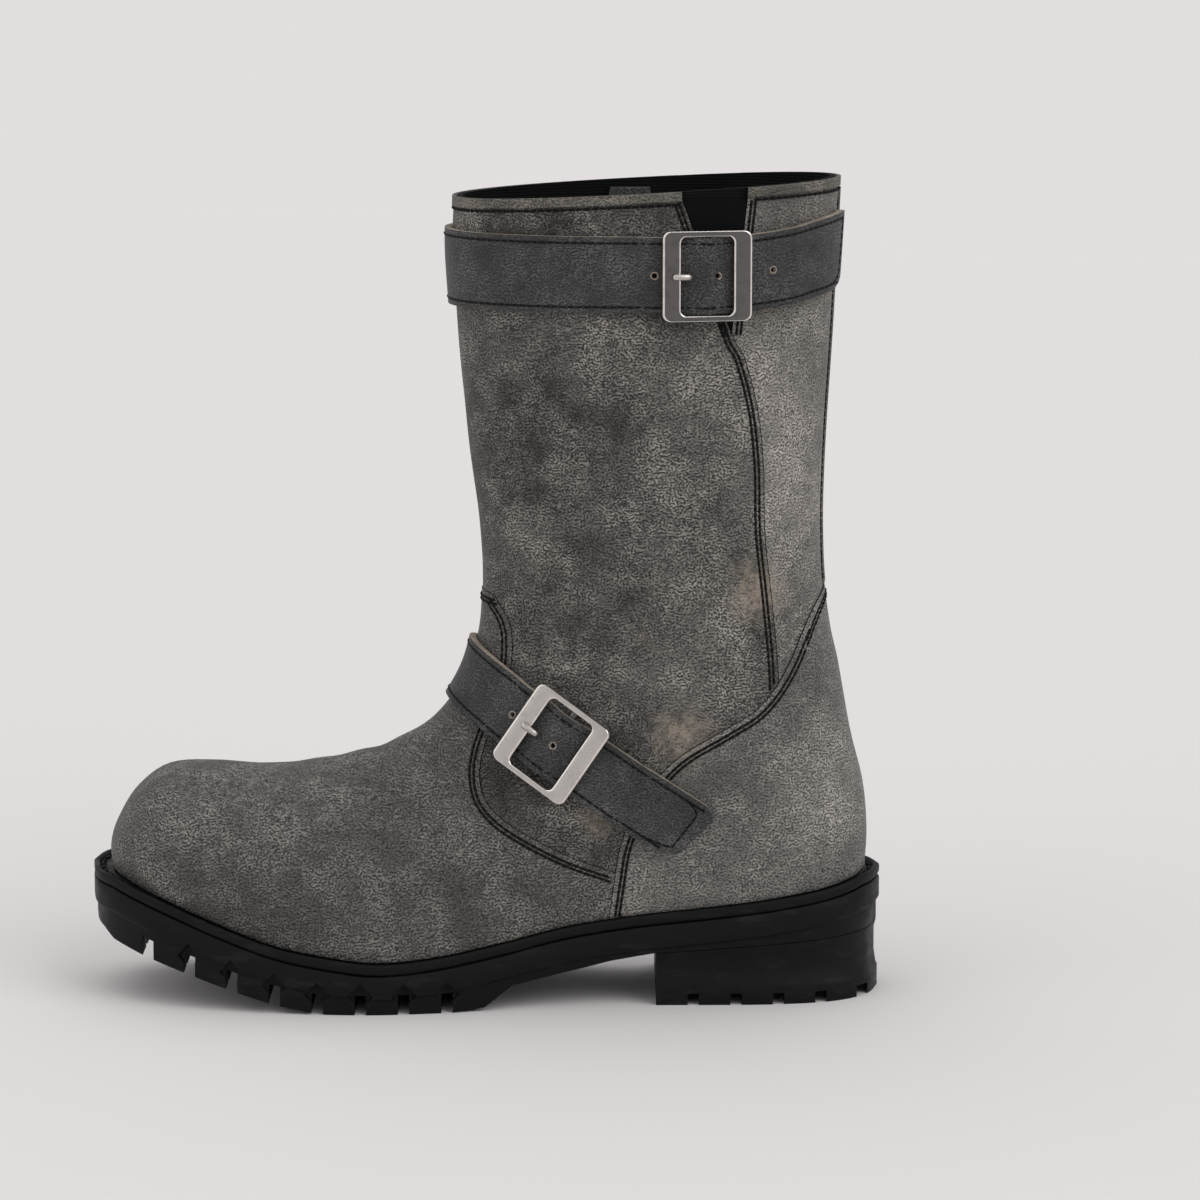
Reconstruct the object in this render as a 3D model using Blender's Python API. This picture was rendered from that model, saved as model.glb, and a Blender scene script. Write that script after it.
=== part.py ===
"""Engineer boot, left: lasted upper with leather overlays, lugged sole and two buckled straps.

Metres. The toe points to -X, the outer (lateral) side to -Y, the inner (medial) side to +Y, up is +Z.
The floor is Z = 0, and the origin lies on it, under the middle of the boot's box.
"""
import math

import bmesh
import bpy
from mathutils import Matrix, Vector

for old in list(bpy.data.objects):
    bpy.data.objects.remove(old)

# Driving sizes of the whole boot
SOLE_LENGTH = 0.318
BOOT_HEIGHT = 0.327
BALL_WIDTH = 0.100

# Leather and clearances
GAP = 0.0003
SEAT_GAP = 0.0005
LINING_WALL = 0.0020
FRONT_LEATHER = 0.0013
REAR_LEATHER = 0.0010
VAMP_LEATHER = 0.0018
COUNTER_LEATHER = 0.0018
GORE_CLOTH = 0.0006
STRAP_LEATHER = 0.0028
CHAPE_LEATHER = 0.0014

# Sole
WELT_THICKNESS = 0.0040
WELT_LIP = 0.0012
INSOLE_THICKNESS = 0.0040
INSOLE_CLEARANCE = 0.0016
LUG_DEPTH = 0.0075
LUG_PITCH = 0.0170
LUG_GAP = 0.0045
HEEL_BREAST_X = 0.0680
HEEL_LUG_DEPTH = 0.0045
GROOVE_INSET = 0.0130
GROOVE_WIDTH = 0.0035
SCALLOP_RADIUS = 0.0062
SCALLOP_DEPTH = 0.0018

# Buckles, shared by both straps
BUCKLE_WIDTH = 0.0350
TOP_BUCKLE_HEIGHT = 0.0350
INSTEP_BUCKLE_HEIGHT = 0.0360
BUCKLE_SIDE_BAR = 0.0072
BUCKLE_END_BAR = 0.0022
BUCKLE_THICKNESS = 0.0028
BUCKLE_CORNER = 0.0030
CENTRE_BAR = 0.0024
PRONG_RADIUS = 0.0013
PRONG_HOLE = 0.0072
PRONG_REST = 0.0036
PRONG_CLEARANCE = 0.0009
BUCKLE_EDGE = 0.0007
CORNER_STEPS = 3
BULGE_RISE = 0.0026
BULGE_REACH = 0.0100

# How finely the curved faces are cut
FOOT_SECTIONS = 20
SHAFT_SECTIONS = 8
UPPER_ARC_STEPS = 6
LOWER_ARC_STEPS = 5
SOLE_PAIRS = 28

# The lasted form: one row for each section, from the toe tip to the collar.
# top_x and foot_x are per cent of SOLE_LENGTH, top_z and foot_z per cent of BOOT_HEIGHT, and the y and half width
# columns per cent of BALL_WIDTH. From the row named closed the two feet of a section meet on the back line.
FORM_COLUMNS = ("top_x", "top_z", "foot_x", "foot_z", "ridge_y", "foot_out", "foot_in",
                "wide_out", "wide_in", "widest", "round", "round_low", "welt")
FORM_ROWS = (
    ("toe tip", -46.7, 15.3, -46.7, 15.3, 5.0, -5.0, 5.0, -5.0, 5.0, 0.30, 2.2, 2.2, 10.5),
    ("toe wall", -46.9, 18.3, -45.9, 15.0, 5.0, 12.0, 22.0, 13.5, 23.5, 0.35, 2.2, 2.2, 10.0),
    ("toe brow", -46.0, 20.9, -43.4, 14.2, 5.0, 24.0, 32.5, 26.5, 34.5, 0.35, 2.2, 2.2, 9.0),
    ("toe crown", -43.9, 24.1, -39.3, 12.8, 4.5, 34.0, 40.0, 37.0, 42.5, 0.34, 2.25, 2.2, 8.0),
    ("toe peak", -40.3, 26.6, -33.0, 10.5, 4.0, 42.0, 45.5, 45.0, 47.5, 0.32, 2.3, 2.2, 7.5),
    ("toe box", -34.9, 27.0, -26.1, 8.2, 3.5, 47.0, 48.0, 49.5, 50.0, 0.29, 2.25, 2.2, 7.0),
    ("ball front", -28.3, 26.7, -19.5, 6.9, 3.0, 49.0, 49.0, 51.5, 51.0, 0.28, 2.15, 2.1, 7.0),
    ("ball", -22.0, 27.5, -13.2, 6.2, 2.5, 49.5, 48.0, 51.5, 50.0, 0.28, 2.05, 2.0, 7.0),
    ("ball back", -16.4, 28.6, -6.3, 6.7, 2.0, 47.0, 43.5, 49.0, 46.5, 0.30, 2.0, 1.9, 6.5),
    ("instep low", -11.5, 30.1, 1.6, 8.1, 1.5, 42.5, 38.0, 45.5, 43.0, 0.33, 1.95, 1.8, 6.0),
    ("instep", -7.2, 32.3, 10.1, 9.9, 1.0, 37.0, 33.0, 42.5, 40.5, 0.37, 1.95, 1.65, 5.5),
    ("instep high", -4.0, 35.6, 18.9, 11.1, 0.5, 34.0, 31.0, 41.5, 40.0, 0.41, 1.95, 1.5, 5.0),
    ("throat", -1.6, 39.8, 27.7, 12.0, 0.0, 33.5, 32.0, 41.5, 40.5, 0.45, 2.0, 1.35, 5.0),
    ("throat high", -0.3, 44.3, 35.5, 12.9, 0.0, 32.0, 31.5, 42.0, 41.5, 0.48, 2.05, 1.3, 5.5),
    ("ankle front", 0.1, 47.9, 42.1, 13.9, 0.0, 26.5, 26.5, 42.5, 42.0, 0.50, 2.1, 1.35, 6.5),
    ("heel turn", 0.1, 51.2, 45.9, 14.7, 0.0, 15.5, 15.5, 43.0, 42.5, 0.50, 2.1, 1.65, 7.5),
    ("closed", 0.0, 54.5, 47.3, 15.2, 0.0, 0.0, 0.0, 43.5, 43.0, 0.50, 2.1, 2.1, 8.0),
    ("heel", -0.2, 57.4, 47.5, 20.0, 0.0, 0.0, 0.0, 44.0, 43.5, 0.50, 2.15, 2.15, 8.0),
    ("heel high", -0.5, 60.2, 46.9, 26.0, 0.0, 0.0, 0.0, 44.5, 44.0, 0.50, 2.15, 2.15, 8.0),
    ("counter", -1.0, 63.6, 45.2, 32.7, 0.0, 0.0, 0.0, 45.5, 45.0, 0.50, 2.15, 2.15, 8.0),
    ("ankle back", -1.5, 67.3, 43.7, 40.7, 0.0, 0.0, 0.0, 46.5, 46.0, 0.50, 2.2, 2.2, 8.0),
    ("ankle", -2.0, 71.9, 42.1, 48.9, 0.0, 0.0, 0.0, 47.5, 47.0, 0.50, 2.2, 2.2, 8.0),
    ("shaft low", -2.6, 78.0, 41.6, 58.1, 0.0, 0.0, 0.0, 48.5, 48.0, 0.50, 2.25, 2.25, 8.0),
    ("shaft", -3.1, 85.0, 41.9, 68.8, 0.0, 0.0, 0.0, 50.0, 49.5, 0.50, 2.25, 2.25, 8.0),
    ("shaft high", -3.5, 91.7, 42.7, 82.0, 0.0, 0.0, 0.0, 51.5, 51.0, 0.50, 2.25, 2.25, 8.0),
    ("collar", -3.3, 97.6, 43.6, 100.0, 0.0, 0.0, 0.0, 52.5, 52.0, 0.50, 2.25, 2.25, 8.0),
)
CLOSED_ROW = 16
WELT_FRONT_END = (-60.0, 16.4)
WELT_BACK_END = (60.0, 16.0)

# Side view lines of the panels, as (x per cent of SOLE_LENGTH, z per cent of BOOT_HEIGHT) points
VAMP_LINE = ((-6.0, 50.0), (0.3, 49.6), (1.8, 48.4), (3.0, 46.5), (3.4, 44.0), (3.0, 40.0), (1.2, 35.0),
             (-0.4, 30.5), (-0.6, 27.5), (0.2, 25.2), (2.2, 23.2), (5.4, 21.2), (10.6, 18.6), (16.6, 16.4))
COUNTER_LINE = ((15.2, 8.0), (15.7, 12.0), (16.2, 15.5), (17.0, 20.0), (19.0, 24.8), (21.8, 28.6), (25.0, 31.5),
                (30.4, 34.6), (33.6, 36.5), (36.0, 39.0), (38.0, 42.2), (39.6, 45.6), (41.3, 48.6), (44.0, 51.0),
                (50.0, 53.0))
SEAM_LINE = ((36.5, 36.0), (36.3, 42.0), (35.5, 50.0), (34.6, 58.0), (34.4, 66.0), (33.6, 73.0), (32.0, 79.0),
             (30.9, 81.0), (30.4, 82.3), (29.0, 87.0))
GORE_APEX = (30.4, 82.0)
GORE_LEFT = 24.4
GORE_RIGHT = 32.2
GORE_TOP = 98.0

# Straps: the middle of each buckle in side view, per cent as above, and the band's run
TOP_BUCKLE_AT = (26.9, 89.3)
TOP_STRAP_HALF = 0.0147
TOP_STRAP_CLIMB = 0.0075
TOP_STRAP_CLIMB_RUN = 0.0520
TOP_STRAP_TIP = (0.900, 0.955, 0.960)
TOP_STRAP_MEDIAL = 0.930
INSTEP_BUCKLE_AT = (9.0, 32.4)
INSTEP_SLOPE = 34.0
INSTEP_STRAP_HALF = 0.0132
INSTEP_TIP = (0.0590, 0.0640, 0.0575)
INSTEP_MEDIAL_END = 0.0660
LIFT_FRONT = 0.0270
LIFT_BACK = 0.0400
LIFT_RAMP = 0.0085
CHAPE_START = 0.0030
CHAPE_END = 0.0300
CHAPE_HALF = 0.0105

# Pull loops inside the collar, per cent as above
PULL_AT = (18.2, 97.6)
PULL_LEATHER = 0.0016
PULL_WIDTH = 0.0090
PULL_SPREAD = 0.0150
PULL_DROP = 0.0420

# Underside of the sole in side view: x and z per cent of SOLE_LENGTH, walking surface only
TREAD_LINE = ((-52.0, 9.6), (-45.9, 7.3), (-41.0, 5.7), (-36.2, 4.2), (-30.5, 2.4), (-25.5, 1.0), (-20.5, 0.15),
              (-17.0, 0.0), (-4.5, 0.0), (-1.0, 0.35), (3.0, 1.0))
TREAD_END = 0.0095
ARCH_LINE = ((3.0, 3.1), (12.6, 5.0), (15.6, 5.7), (21.2, 6.6), (30.0, 7.2), (40.0, 7.9), (52.0, 8.8))

SHADES = {
    "charcoal leather": ((0.115, 0.110, 0.100, 1.0), 0.62, 0.0),
    "strap leather": ((0.060, 0.064, 0.070, 1.0), 0.55, 0.0),
    "black lining": ((0.012, 0.012, 0.013, 1.0), 0.80, 0.0),
    "black elastic": ((0.014, 0.014, 0.015, 1.0), 0.85, 0.0),
    "black rubber": ((0.010, 0.011, 0.012, 1.0), 0.50, 0.0),
    "insole leather": ((0.040, 0.035, 0.030, 1.0), 0.75, 0.0),
    "nickel": ((0.620, 0.590, 0.560, 1.0), 0.28, 1.0),
}


def shade(name):
    """The material of that name, made once."""
    found = bpy.data.materials.get(name)
    if found:
        return found
    colour, roughness, metallic = SHADES[name]
    made = bpy.data.materials.new(name)
    made.use_nodes = True
    principled = made.node_tree.nodes["Principled BSDF"]
    principled.inputs["Base Color"].default_value = colour
    principled.inputs["Roughness"].default_value = roughness
    principled.inputs["Metallic"].default_value = metallic
    made.diffuse_color = colour
    return made


def keep(name, bm, material):
    """Put a bmesh into the scene as an object with its material."""
    mesh = bpy.data.meshes.new(name)
    bm.to_mesh(mesh)
    bm.free()
    piece = bpy.data.objects.new(name, mesh)
    bpy.context.scene.collection.objects.link(piece)
    mesh.materials.append(shade(material))
    return piece


def keep_cutter(name, bm):
    """Put a bmesh into the scene as a hidden cutter."""
    cutter = keep(name, bm, "black rubber")
    cutter.hide_render = True
    cutter.display_type = "WIRE"
    return cutter


def carve(piece, cutter, operation):
    """Add a Boolean with the exact solver."""
    modifier = piece.modifiers.new(operation.title(), "BOOLEAN")
    modifier.operation = operation
    modifier.solver = "EXACT"
    modifier.object = cutter


def smooth(piece, angle=math.radians(38)):
    """Shade a round piece smooth, with its real edges sharp."""
    piece.data.shade_smooth()
    piece.data.set_sharp_from_angle(angle=angle)


def curve_value(values, place):
    """Catmull-Rom curve through evenly spaced values, at a place counted in values."""
    last = len(values) - 1
    low = min(max(int(math.floor(place)), 0), last - 1)
    t = place - low
    before = values[low - 1] if low > 0 else 2 * values[0] - values[1]
    after = values[low + 2] if low + 2 <= last else 2 * values[last] - values[last - 1]
    here, there = values[low], values[low + 1]
    slope_here, slope_there = (there - before) / 2, (after - here) / 2
    return (here * (2 * t**3 - 3 * t**2 + 1) + slope_here * (t**3 - 2 * t**2 + t)
            + there * (3 * t**2 - 2 * t**3) + slope_there * (t**3 - t**2))


def smooth_line(points, steps=4):
    """Points of a Catmull-Rom curve through (x, z) points."""
    xs, zs = zip(*points)
    count = (len(points) - 1) * steps
    places = [k / steps for k in range(count + 1)]
    return [(curve_value(xs, place), curve_value(zs, place)) for place in places]


def height_on(line, x):
    """Height of an (x, z) line at x, straight between its points and beyond its ends."""
    for (x0, z0), (x1, z1) in zip(line, line[1:]):
        if x <= x1:
            return z0 + (z1 - z0) * (x - x0) / (x1 - x0)
    return z0 + (z1 - z0) * (x - x0) / (x1 - x0)


def side_points(line, z_size=BOOT_HEIGHT):
    """An (x, z) line of percentages in metres."""
    return [(x / 100 * SOLE_LENGTH, z / 100 * z_size) for x, z in line]


FORM = {name: [row[k + 1] for row in FORM_ROWS] for k, name in enumerate(FORM_COLUMNS)}
TREAD = smooth_line(side_points(TREAD_LINE, SOLE_LENGTH), 3)
ARCH = side_points(ARCH_LINE, SOLE_LENGTH)


def form(column, place):
    """A column of the form's table at a place counted in rows, as a size or a plain number."""
    values = FORM[column]
    if column.startswith("foot") and place <= CLOSED_ROW:
        values = values[:CLOSED_ROW + 1]
    elif column.startswith("foot"):
        values = values[CLOSED_ROW:]
        place -= CLOSED_ROW
    value = curve_value(values, place)
    if column in ("top_x", "foot_x"):
        return value / 100 * SOLE_LENGTH
    if column in ("top_z", "foot_z"):
        return value / 100 * BOOT_HEIGHT
    if column in ("widest", "round", "round_low"):
        return value
    return value / 100 * BALL_WIDTH


FEATHER_LINE = [(form("foot_x", k / 4), form("foot_z", k / 4)) for k in range(4 * CLOSED_ROW + 1)]
FEATHER_LINE = side_points((WELT_FRONT_END,)) + FEATHER_LINE + side_points((WELT_BACK_END,))


def form_point(place, around):
    """Point of the lasted form: place counts the table's rows from the toe tip to the collar; around goes from -1,
    the outer feather or back line, over 0, the ridge, to 1, the inner one."""
    top = Vector((form("top_x", place), 0.0, form("top_z", place)))
    foot = Vector((form("foot_x", place), 0.0, form("foot_z", place)))
    side = "out" if around < 0 else "in"
    sign = -1.0 if around < 0 else 1.0
    foot_half = max(form("foot_" + side, place), -BALL_WIDTH) if place < CLOSED_ROW else 0.0
    wide_half = form("wide_" + side, place)
    widest = form("widest", place)
    power = 2.0 / form("round", place)
    ridge = form("ridge_y", place)
    turn = abs(around) * (UPPER_ARC_STEPS + LOWER_ARC_STEPS)
    if turn <= UPPER_ARC_STEPS:
        angle = math.pi / 2 * (1 - turn / UPPER_ARC_STEPS)
        height = widest + (1 - widest) * math.sin(angle) ** power
        spread = math.cos(angle) ** power if turn > 0 else 0.0
        y = ridge + (sign * wide_half - ridge) * spread
    else:
        power = 2.0 / form("round_low", place)
        angle = math.pi / 2 * (turn - UPPER_ARC_STEPS) / LOWER_ARC_STEPS
        height = widest * (1 - math.sin(angle) ** power)
        spread = math.cos(angle) ** power if turn < UPPER_ARC_STEPS + LOWER_ARC_STEPS else 0.0
        y = sign * (foot_half + (wide_half - foot_half) * spread)
    spot = foot.lerp(top, height)
    spot.y = y
    return spot


def section_place(number):
    """Place in the form's table of a section: the foot's sections reach the closed row, the shaft's the collar."""
    if number <= FOOT_SECTIONS:
        return CLOSED_ROW * number / FOOT_SECTIONS
    return CLOSED_ROW + (len(FORM_ROWS) - 1 - CLOSED_ROW) * (number - FOOT_SECTIONS) / SHAFT_SECTIONS


def form_sheet(offset=0.0, lift=None):
    """The lasted form as an open sheet of quads, set off along its normals."""
    arc_steps = 2 * (UPPER_ARC_STEPS + LOWER_ARC_STEPS)
    bm = bmesh.new()
    sections = FOOT_SECTIONS + SHAFT_SECTIONS
    bmesh.ops.create_grid(bm, x_segments=sections, y_segments=arc_steps, size=1.0)
    for vert in bm.verts:
        around = round(vert.co.y * arc_steps / 2) / (arc_steps / 2)
        vert.co = form_point(section_place(round((vert.co.x + 1) / 2 * sections)), around)
    bmesh.ops.remove_doubles(bm, verts=bm.verts, dist=0.00002)
    outer = min(bm.faces, key=lambda face: face.calc_center_median().y)
    bm.normal_update()
    if outer.normal.y > 0:
        bmesh.ops.reverse_faces(bm, faces=bm.faces)
    bmesh.ops.triangulate(bm, faces=bm.faces)
    bm.normal_update()
    normals = {vert: vert.normal.copy() for vert in bm.verts}
    for vert, normal in normals.items():
        extra = lift(vert.co) if lift else 0.0
        vert.co += normal * (offset + extra)
    return bm


def form_shell(name, low, thickness, material, lift=None):
    """A shell that lies on the form, from low to low + thickness above it."""
    piece = keep(name, form_sheet(low, lift), material)
    modifier = piece.modifiers.new("Thickness", "SOLIDIFY")
    modifier.thickness = thickness
    modifier.offset = 1.0
    modifier.use_even_offset = True
    smooth(piece)
    return piece


def grown(points, distance):
    """A closed (x, z) outline moved outwards by a distance."""
    area = sum(x0 * z1 - x1 * z0 for (x0, z0), (x1, z1) in zip(points, points[1:] + points[:1]))
    turn = 1.0 if area > 0 else -1.0
    moved = []
    for k, (x, z) in enumerate(points):
        before = Vector(points[k - 1])
        after = Vector(points[(k + 1) % len(points)])
        run = (after - before).normalized()
        moved.append((x + turn * run.y * distance, z - turn * run.x * distance))
    return moved


def side_prism(name, points, y_low=-0.12, y_high=0.12):
    """A hidden cutter: an (x, z) outline drawn through from y_low to y_high."""
    bm = bmesh.new()
    face = bm.faces.new([bm.verts.new((x, y_low, z)) for x, z in points])
    drawn = bmesh.ops.extrude_face_region(bm, geom=[face])
    moved = [item for item in drawn["geom"] if isinstance(item, bmesh.types.BMVert)]
    bmesh.ops.translate(bm, vec=(0, y_high - y_low, 0), verts=moved)
    bmesh.ops.recalc_face_normals(bm, faces=bm.faces)
    return keep_cutter(name, bm)


def lower_edge(x_low, x_high, steps=36):
    """The feather line between two x, a gap above the welt, for the lower edge of a panel."""
    xs = [x_low + (x_high - x_low) * k / steps for k in range(steps + 1)]
    return [(x, height_on(FEATHER_LINE, x)) for x in xs]


# Upper: the hollow lined body, open at the collar and underneath
upper = keep("upper", form_sheet(), "black lining")
wall = upper.modifiers.new("Wall", "SOLIDIFY")
wall.thickness = LINING_WALL
wall.offset = -1.0
wall.use_even_offset = True
smooth(upper)

# Outlines of the panels in side view
FAR_FRONT = -0.56 * SOLE_LENGTH
FAR_BACK = 0.56 * SOLE_LENGTH
ABOVE = 1.1 * BOOT_HEIGHT
QUARTER_FOOT = 0.155 * BOOT_HEIGHT
counter_edge = smooth_line(side_points(COUNTER_LINE), 3)
counter_foot = [point for point in counter_edge if point[1] > height_on(FEATHER_LINE, point[0])]
counter_outline = counter_foot + [(FAR_BACK, counter_foot[-1][1])]
counter_outline += list(reversed(lower_edge(counter_foot[0][0], FAR_BACK)))
vamp_edge = smooth_line(side_points(VAMP_LINE), 3)
vamp_outline = [(FAR_FRONT, vamp_edge[0][1])] + vamp_edge
vamp_outline += [(0.20 * SOLE_LENGTH, vamp_edge[-1][1])]
vamp_outline += list(reversed(lower_edge(FAR_FRONT, 0.20 * SOLE_LENGTH)))
seam_edge = smooth_line(side_points(SEAM_LINE), 3)
front_outline = seam_edge + [(seam_edge[-1][0], ABOVE), (FAR_FRONT, ABOVE)]
front_outline += [(FAR_FRONT, QUARTER_FOOT), (seam_edge[0][0], QUARTER_FOOT)]
rear_edge = [(x + GAP, z) for x, z in seam_edge]
rear_outline = rear_edge + [(rear_edge[-1][0], ABOVE), (FAR_BACK, ABOVE)]
rear_outline += [(FAR_BACK, 2 * QUARTER_FOOT), (rear_edge[0][0], 2 * QUARTER_FOOT)]
gore_outline = side_points(((GORE_LEFT, GORE_TOP), GORE_APEX, (GORE_RIGHT, GORE_TOP)))
gore_notch = side_points((
    (GORE_LEFT - 0.7 * (110 - GORE_TOP) / 16, 110), (GORE_LEFT, GORE_TOP), GORE_APEX, (GORE_RIGHT, GORE_TOP),
    (GORE_RIGHT + 0.2, 110)))

# The panels are shells on the form, each cut by its own outline and, a gap wider, by those that lie beside it
counter_cut = side_prism("counter_cut", counter_outline)
counter_room = side_prism("counter_room", grown(counter_outline, GAP))
vamp_room = side_prism("vamp_room", grown(vamp_outline, GAP))
gore_room = side_prism("gore_room", grown(gore_notch, GAP))

counter = form_shell("counter", GAP, COUNTER_LEATHER, "charcoal leather")
carve(counter, counter_cut, "INTERSECT")

vamp = form_shell("vamp", GAP, VAMP_LEATHER, "charcoal leather")
carve(vamp, side_prism("vamp_cut", vamp_outline), "INTERSECT")
carve(vamp, counter_room, "DIFFERENCE")

front_quarter = form_shell("front_quarter", GAP, FRONT_LEATHER, "charcoal leather")
carve(front_quarter, side_prism("front_cut", front_outline), "INTERSECT")
for room in (vamp_room, counter_room, gore_room):
    carve(front_quarter, room, "DIFFERENCE")

rear_quarter = form_shell("rear_quarter", GAP, REAR_LEATHER, "charcoal leather")
carve(rear_quarter, side_prism("rear_cut", rear_outline), "INTERSECT")
for room in (counter_room, gore_room):
    carve(rear_quarter, room, "DIFFERENCE")

for side, y_low, y_high in (("lateral", -0.12, -0.01), ("medial", 0.01, 0.12)):
    gore = form_shell("gore_" + side, GAP, GORE_CLOTH, "black elastic")
    carve(gore, side_prism("gore_cut_" + side, gore_outline, y_low, y_high), "INTERSECT")


# Sole and insole: closed loops of points that follow the feather line
def sole_loop(reach, height, welted=True):
    """Closed loop round the sole: the feather line moved out by the welt and reach, at a height found from x."""
    half = SOLE_PAIRS
    places = [CLOSED_ROW * k / half for k in range(half + 1)]
    outer = [(form("foot_x", place), -form("foot_out", place), place) for place in places]
    inner = [(form("foot_x", place), form("foot_in", place), place) for place in reversed(places[1:-1])]
    outer[-1] = (outer[-1][0], 0.0, outer[-1][2])
    loop = outer + inner
    moved = []
    for k, (x, y, place) in enumerate(loop):
        before = loop[k - 1]
        after = loop[(k + 1) % len(loop)]
        run = Vector((after[0] - before[0], after[1] - before[1])).normalized()
        distance = reach + (form("welt", place) if welted else 0.0)
        moved.append(Vector((x + run.y * distance, y - run.x * distance, 0.0)))
    for k, spot in enumerate(moved):
        across = moved[-k] if k else spot
        spot.z = height((spot.x + across.x) / 2)
    return moved


def stack(name, loops, material, cutter=False, ring=False):
    """A closed solid skinned over loops, from the lowest up; a ring joins its last loop to its first."""
    bm = bmesh.new()
    rows = [[bm.verts.new(point) for point in loop] for loop in loops]
    count = len(rows[0])
    pairs = list(zip(rows, rows[1:])) + ([(rows[-1], rows[0])] if ring else [])
    for low, high in pairs:
        for k in range(count):
            after = (k + 1) % count
            bm.faces.new((low[k], low[after], high[after], high[k]))
    if not ring:
        for row in (rows[0], rows[-1]):
            for k in range(count // 2):
                corners = [row[k], row[k + 1], row[(count - k - 1) % count], row[(count - k) % count]]
                corners = [corner for n, corner in enumerate(corners) if corner not in corners[:n]]
                bm.faces.new(corners)
    bmesh.ops.recalc_face_normals(bm, faces=bm.faces)
    if bm.calc_volume(signed=True) < 0:
        bmesh.ops.reverse_faces(bm, faces=bm.faces)
    piece = keep_cutter(name, bm) if cutter else keep(name, bm, material)
    return piece


def welt_top(x):
    """Height of the welt's upper face."""
    return height_on(FEATHER_LINE, x) - SEAT_GAP


def welt_foot(x):
    """Height of the welt's lower face."""
    return welt_top(x) - WELT_THICKNESS


def outsole_top(x):
    """Height of the outsole's upper face."""
    return welt_foot(x) - GAP


def arch(x):
    """Height of the outsole's underside behind the tread."""
    return height_on(ARCH, x)


def tread(x):
    """Height of the walking surface under the forefoot."""
    return max(height_on(TREAD, x), 0.0)


INSOLE_REACH = -LINING_WALL - INSOLE_CLEARANCE
insole = stack("insole", [
    sole_loop(INSOLE_REACH, lambda x: welt_top(x) + SEAT_GAP, welted=False),
    sole_loop(INSOLE_REACH, lambda x: welt_top(x) + SEAT_GAP + INSOLE_THICKNESS, welted=False),
], "insole leather")

welt = stack("welt", [
    sole_loop(-WELT_LIP, welt_foot),
    sole_loop(0.0, lambda x: welt_foot(x) + WELT_LIP),
    sole_loop(0.0, lambda x: welt_top(x) - WELT_LIP),
    sole_loop(-WELT_LIP, welt_top),
], "black rubber")

outsole = stack("outsole", [
    sole_loop(-0.0012, lambda x: -0.010),
    sole_loop(-0.0012, lambda x: outsole_top(x) - 0.0105),
    sole_loop(0.0, lambda x: outsole_top(x) - 0.0090),
    sole_loop(0.0, lambda x: outsole_top(x) - 0.0008),
    sole_loop(-0.0010, outsole_top),
], "black rubber")


def slotted(line, x_low, x_high, depth, pitch, gap):
    """Lower edge of a lugged face: the line cut by slots every pitch."""
    points = []
    x = x_low
    while x < x_high - 0.4 * pitch:
        lug_end = min(x + pitch - gap, x_high)
        points += [(x, line(x)), (lug_end, line(lug_end))]
        if lug_end + gap < x_high - 0.4 * pitch:
            points += [(lug_end, line(lug_end) + depth), (lug_end + gap, line(lug_end + gap) + depth)]
        x += pitch
    return points


tread_start = -0.1485
lower = [(FAR_FRONT, tread(FAR_FRONT) + LUG_DEPTH * 0.5)]
lower += [(tread_start - LUG_GAP, tread(tread_start) + LUG_DEPTH * 0.5)]
lower += slotted(tread, tread_start, TREAD_END, LUG_DEPTH, LUG_PITCH, LUG_GAP)
lower += [(TREAD_END + 0.0015, arch(TREAD_END))]
lower += [point for point in ARCH if point[0] > TREAD_END + 0.003]
outsole_outline = lower + [(lower[-1][0], 0.10), (FAR_FRONT, 0.10)]
carve(outsole, side_prism("outsole_cut", outsole_outline), "INTERSECT")

outsole_groove = stack("outsole_groove", [
    sole_loop(-GROOVE_INSET, lambda x: -0.02),
    sole_loop(-GROOVE_INSET, lambda x: tread(x) + LUG_DEPTH),
    sole_loop(-GROOVE_INSET - GROOVE_WIDTH, lambda x: tread(x) + LUG_DEPTH),
    sole_loop(-GROOVE_INSET - GROOVE_WIDTH, lambda x: -0.02),
], "black rubber", cutter=True, ring=True)
groove_end = side_prism("groove_end", [(TREAD_END + 0.001, -0.03), (0.2, -0.03), (0.2, 0.05), (TREAD_END + 0.001, 0.05)])
carve(outsole_groove, groove_end, "DIFFERENCE")
carve(outsole, outsole_groove, "DIFFERENCE")


def scallops(name, first, last, pitch):
    """Hidden cutters: short upright drums that hollow the side wall above each slot."""
    bm = bmesh.new()
    edge = sole_loop(-0.0012, lambda x: 0.0)
    x = first
    while x < last:
        for sign in (-1.0, 1.0):
            side = [point for point in edge if point.y * sign > 0]
            near = sorted(side, key=lambda point: abs(point.x - x))[:2]
            a, b = sorted(near, key=lambda point: point.x)
            share = (x - a.x) / (b.x - a.x)
            spot = a.lerp(b, share)
            run = (b - a).normalized()
            out = Vector((run.y, -run.x, 0.0)) * (1.0 if sign < 0 else -1.0)
            spot.z = tread(x) + LUG_DEPTH
            across = out.cross(Vector((0, 0, 1)))
            turn = Matrix((across, Vector((0, 0, 1)), out)).transposed().to_4x4()
            place = Matrix.Translation(spot + out * 0.004) @ turn
            bmesh.ops.create_cone(bm, cap_ends=True, segments=8, radius1=SCALLOP_RADIUS * 0.8,
                                  radius2=SCALLOP_RADIUS, depth=2 * (0.004 + SCALLOP_DEPTH), matrix=place)
        x += pitch
    bmesh.ops.recalc_face_normals(bm, faces=bm.faces)
    return keep_cutter(name, bm)


carve(outsole, scallops("outsole_scallops", tread_start + 2 * LUG_PITCH - LUG_GAP / 2, TREAD_END - LUG_PITCH / 2,
                        LUG_PITCH), "DIFFERENCE")

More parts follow.
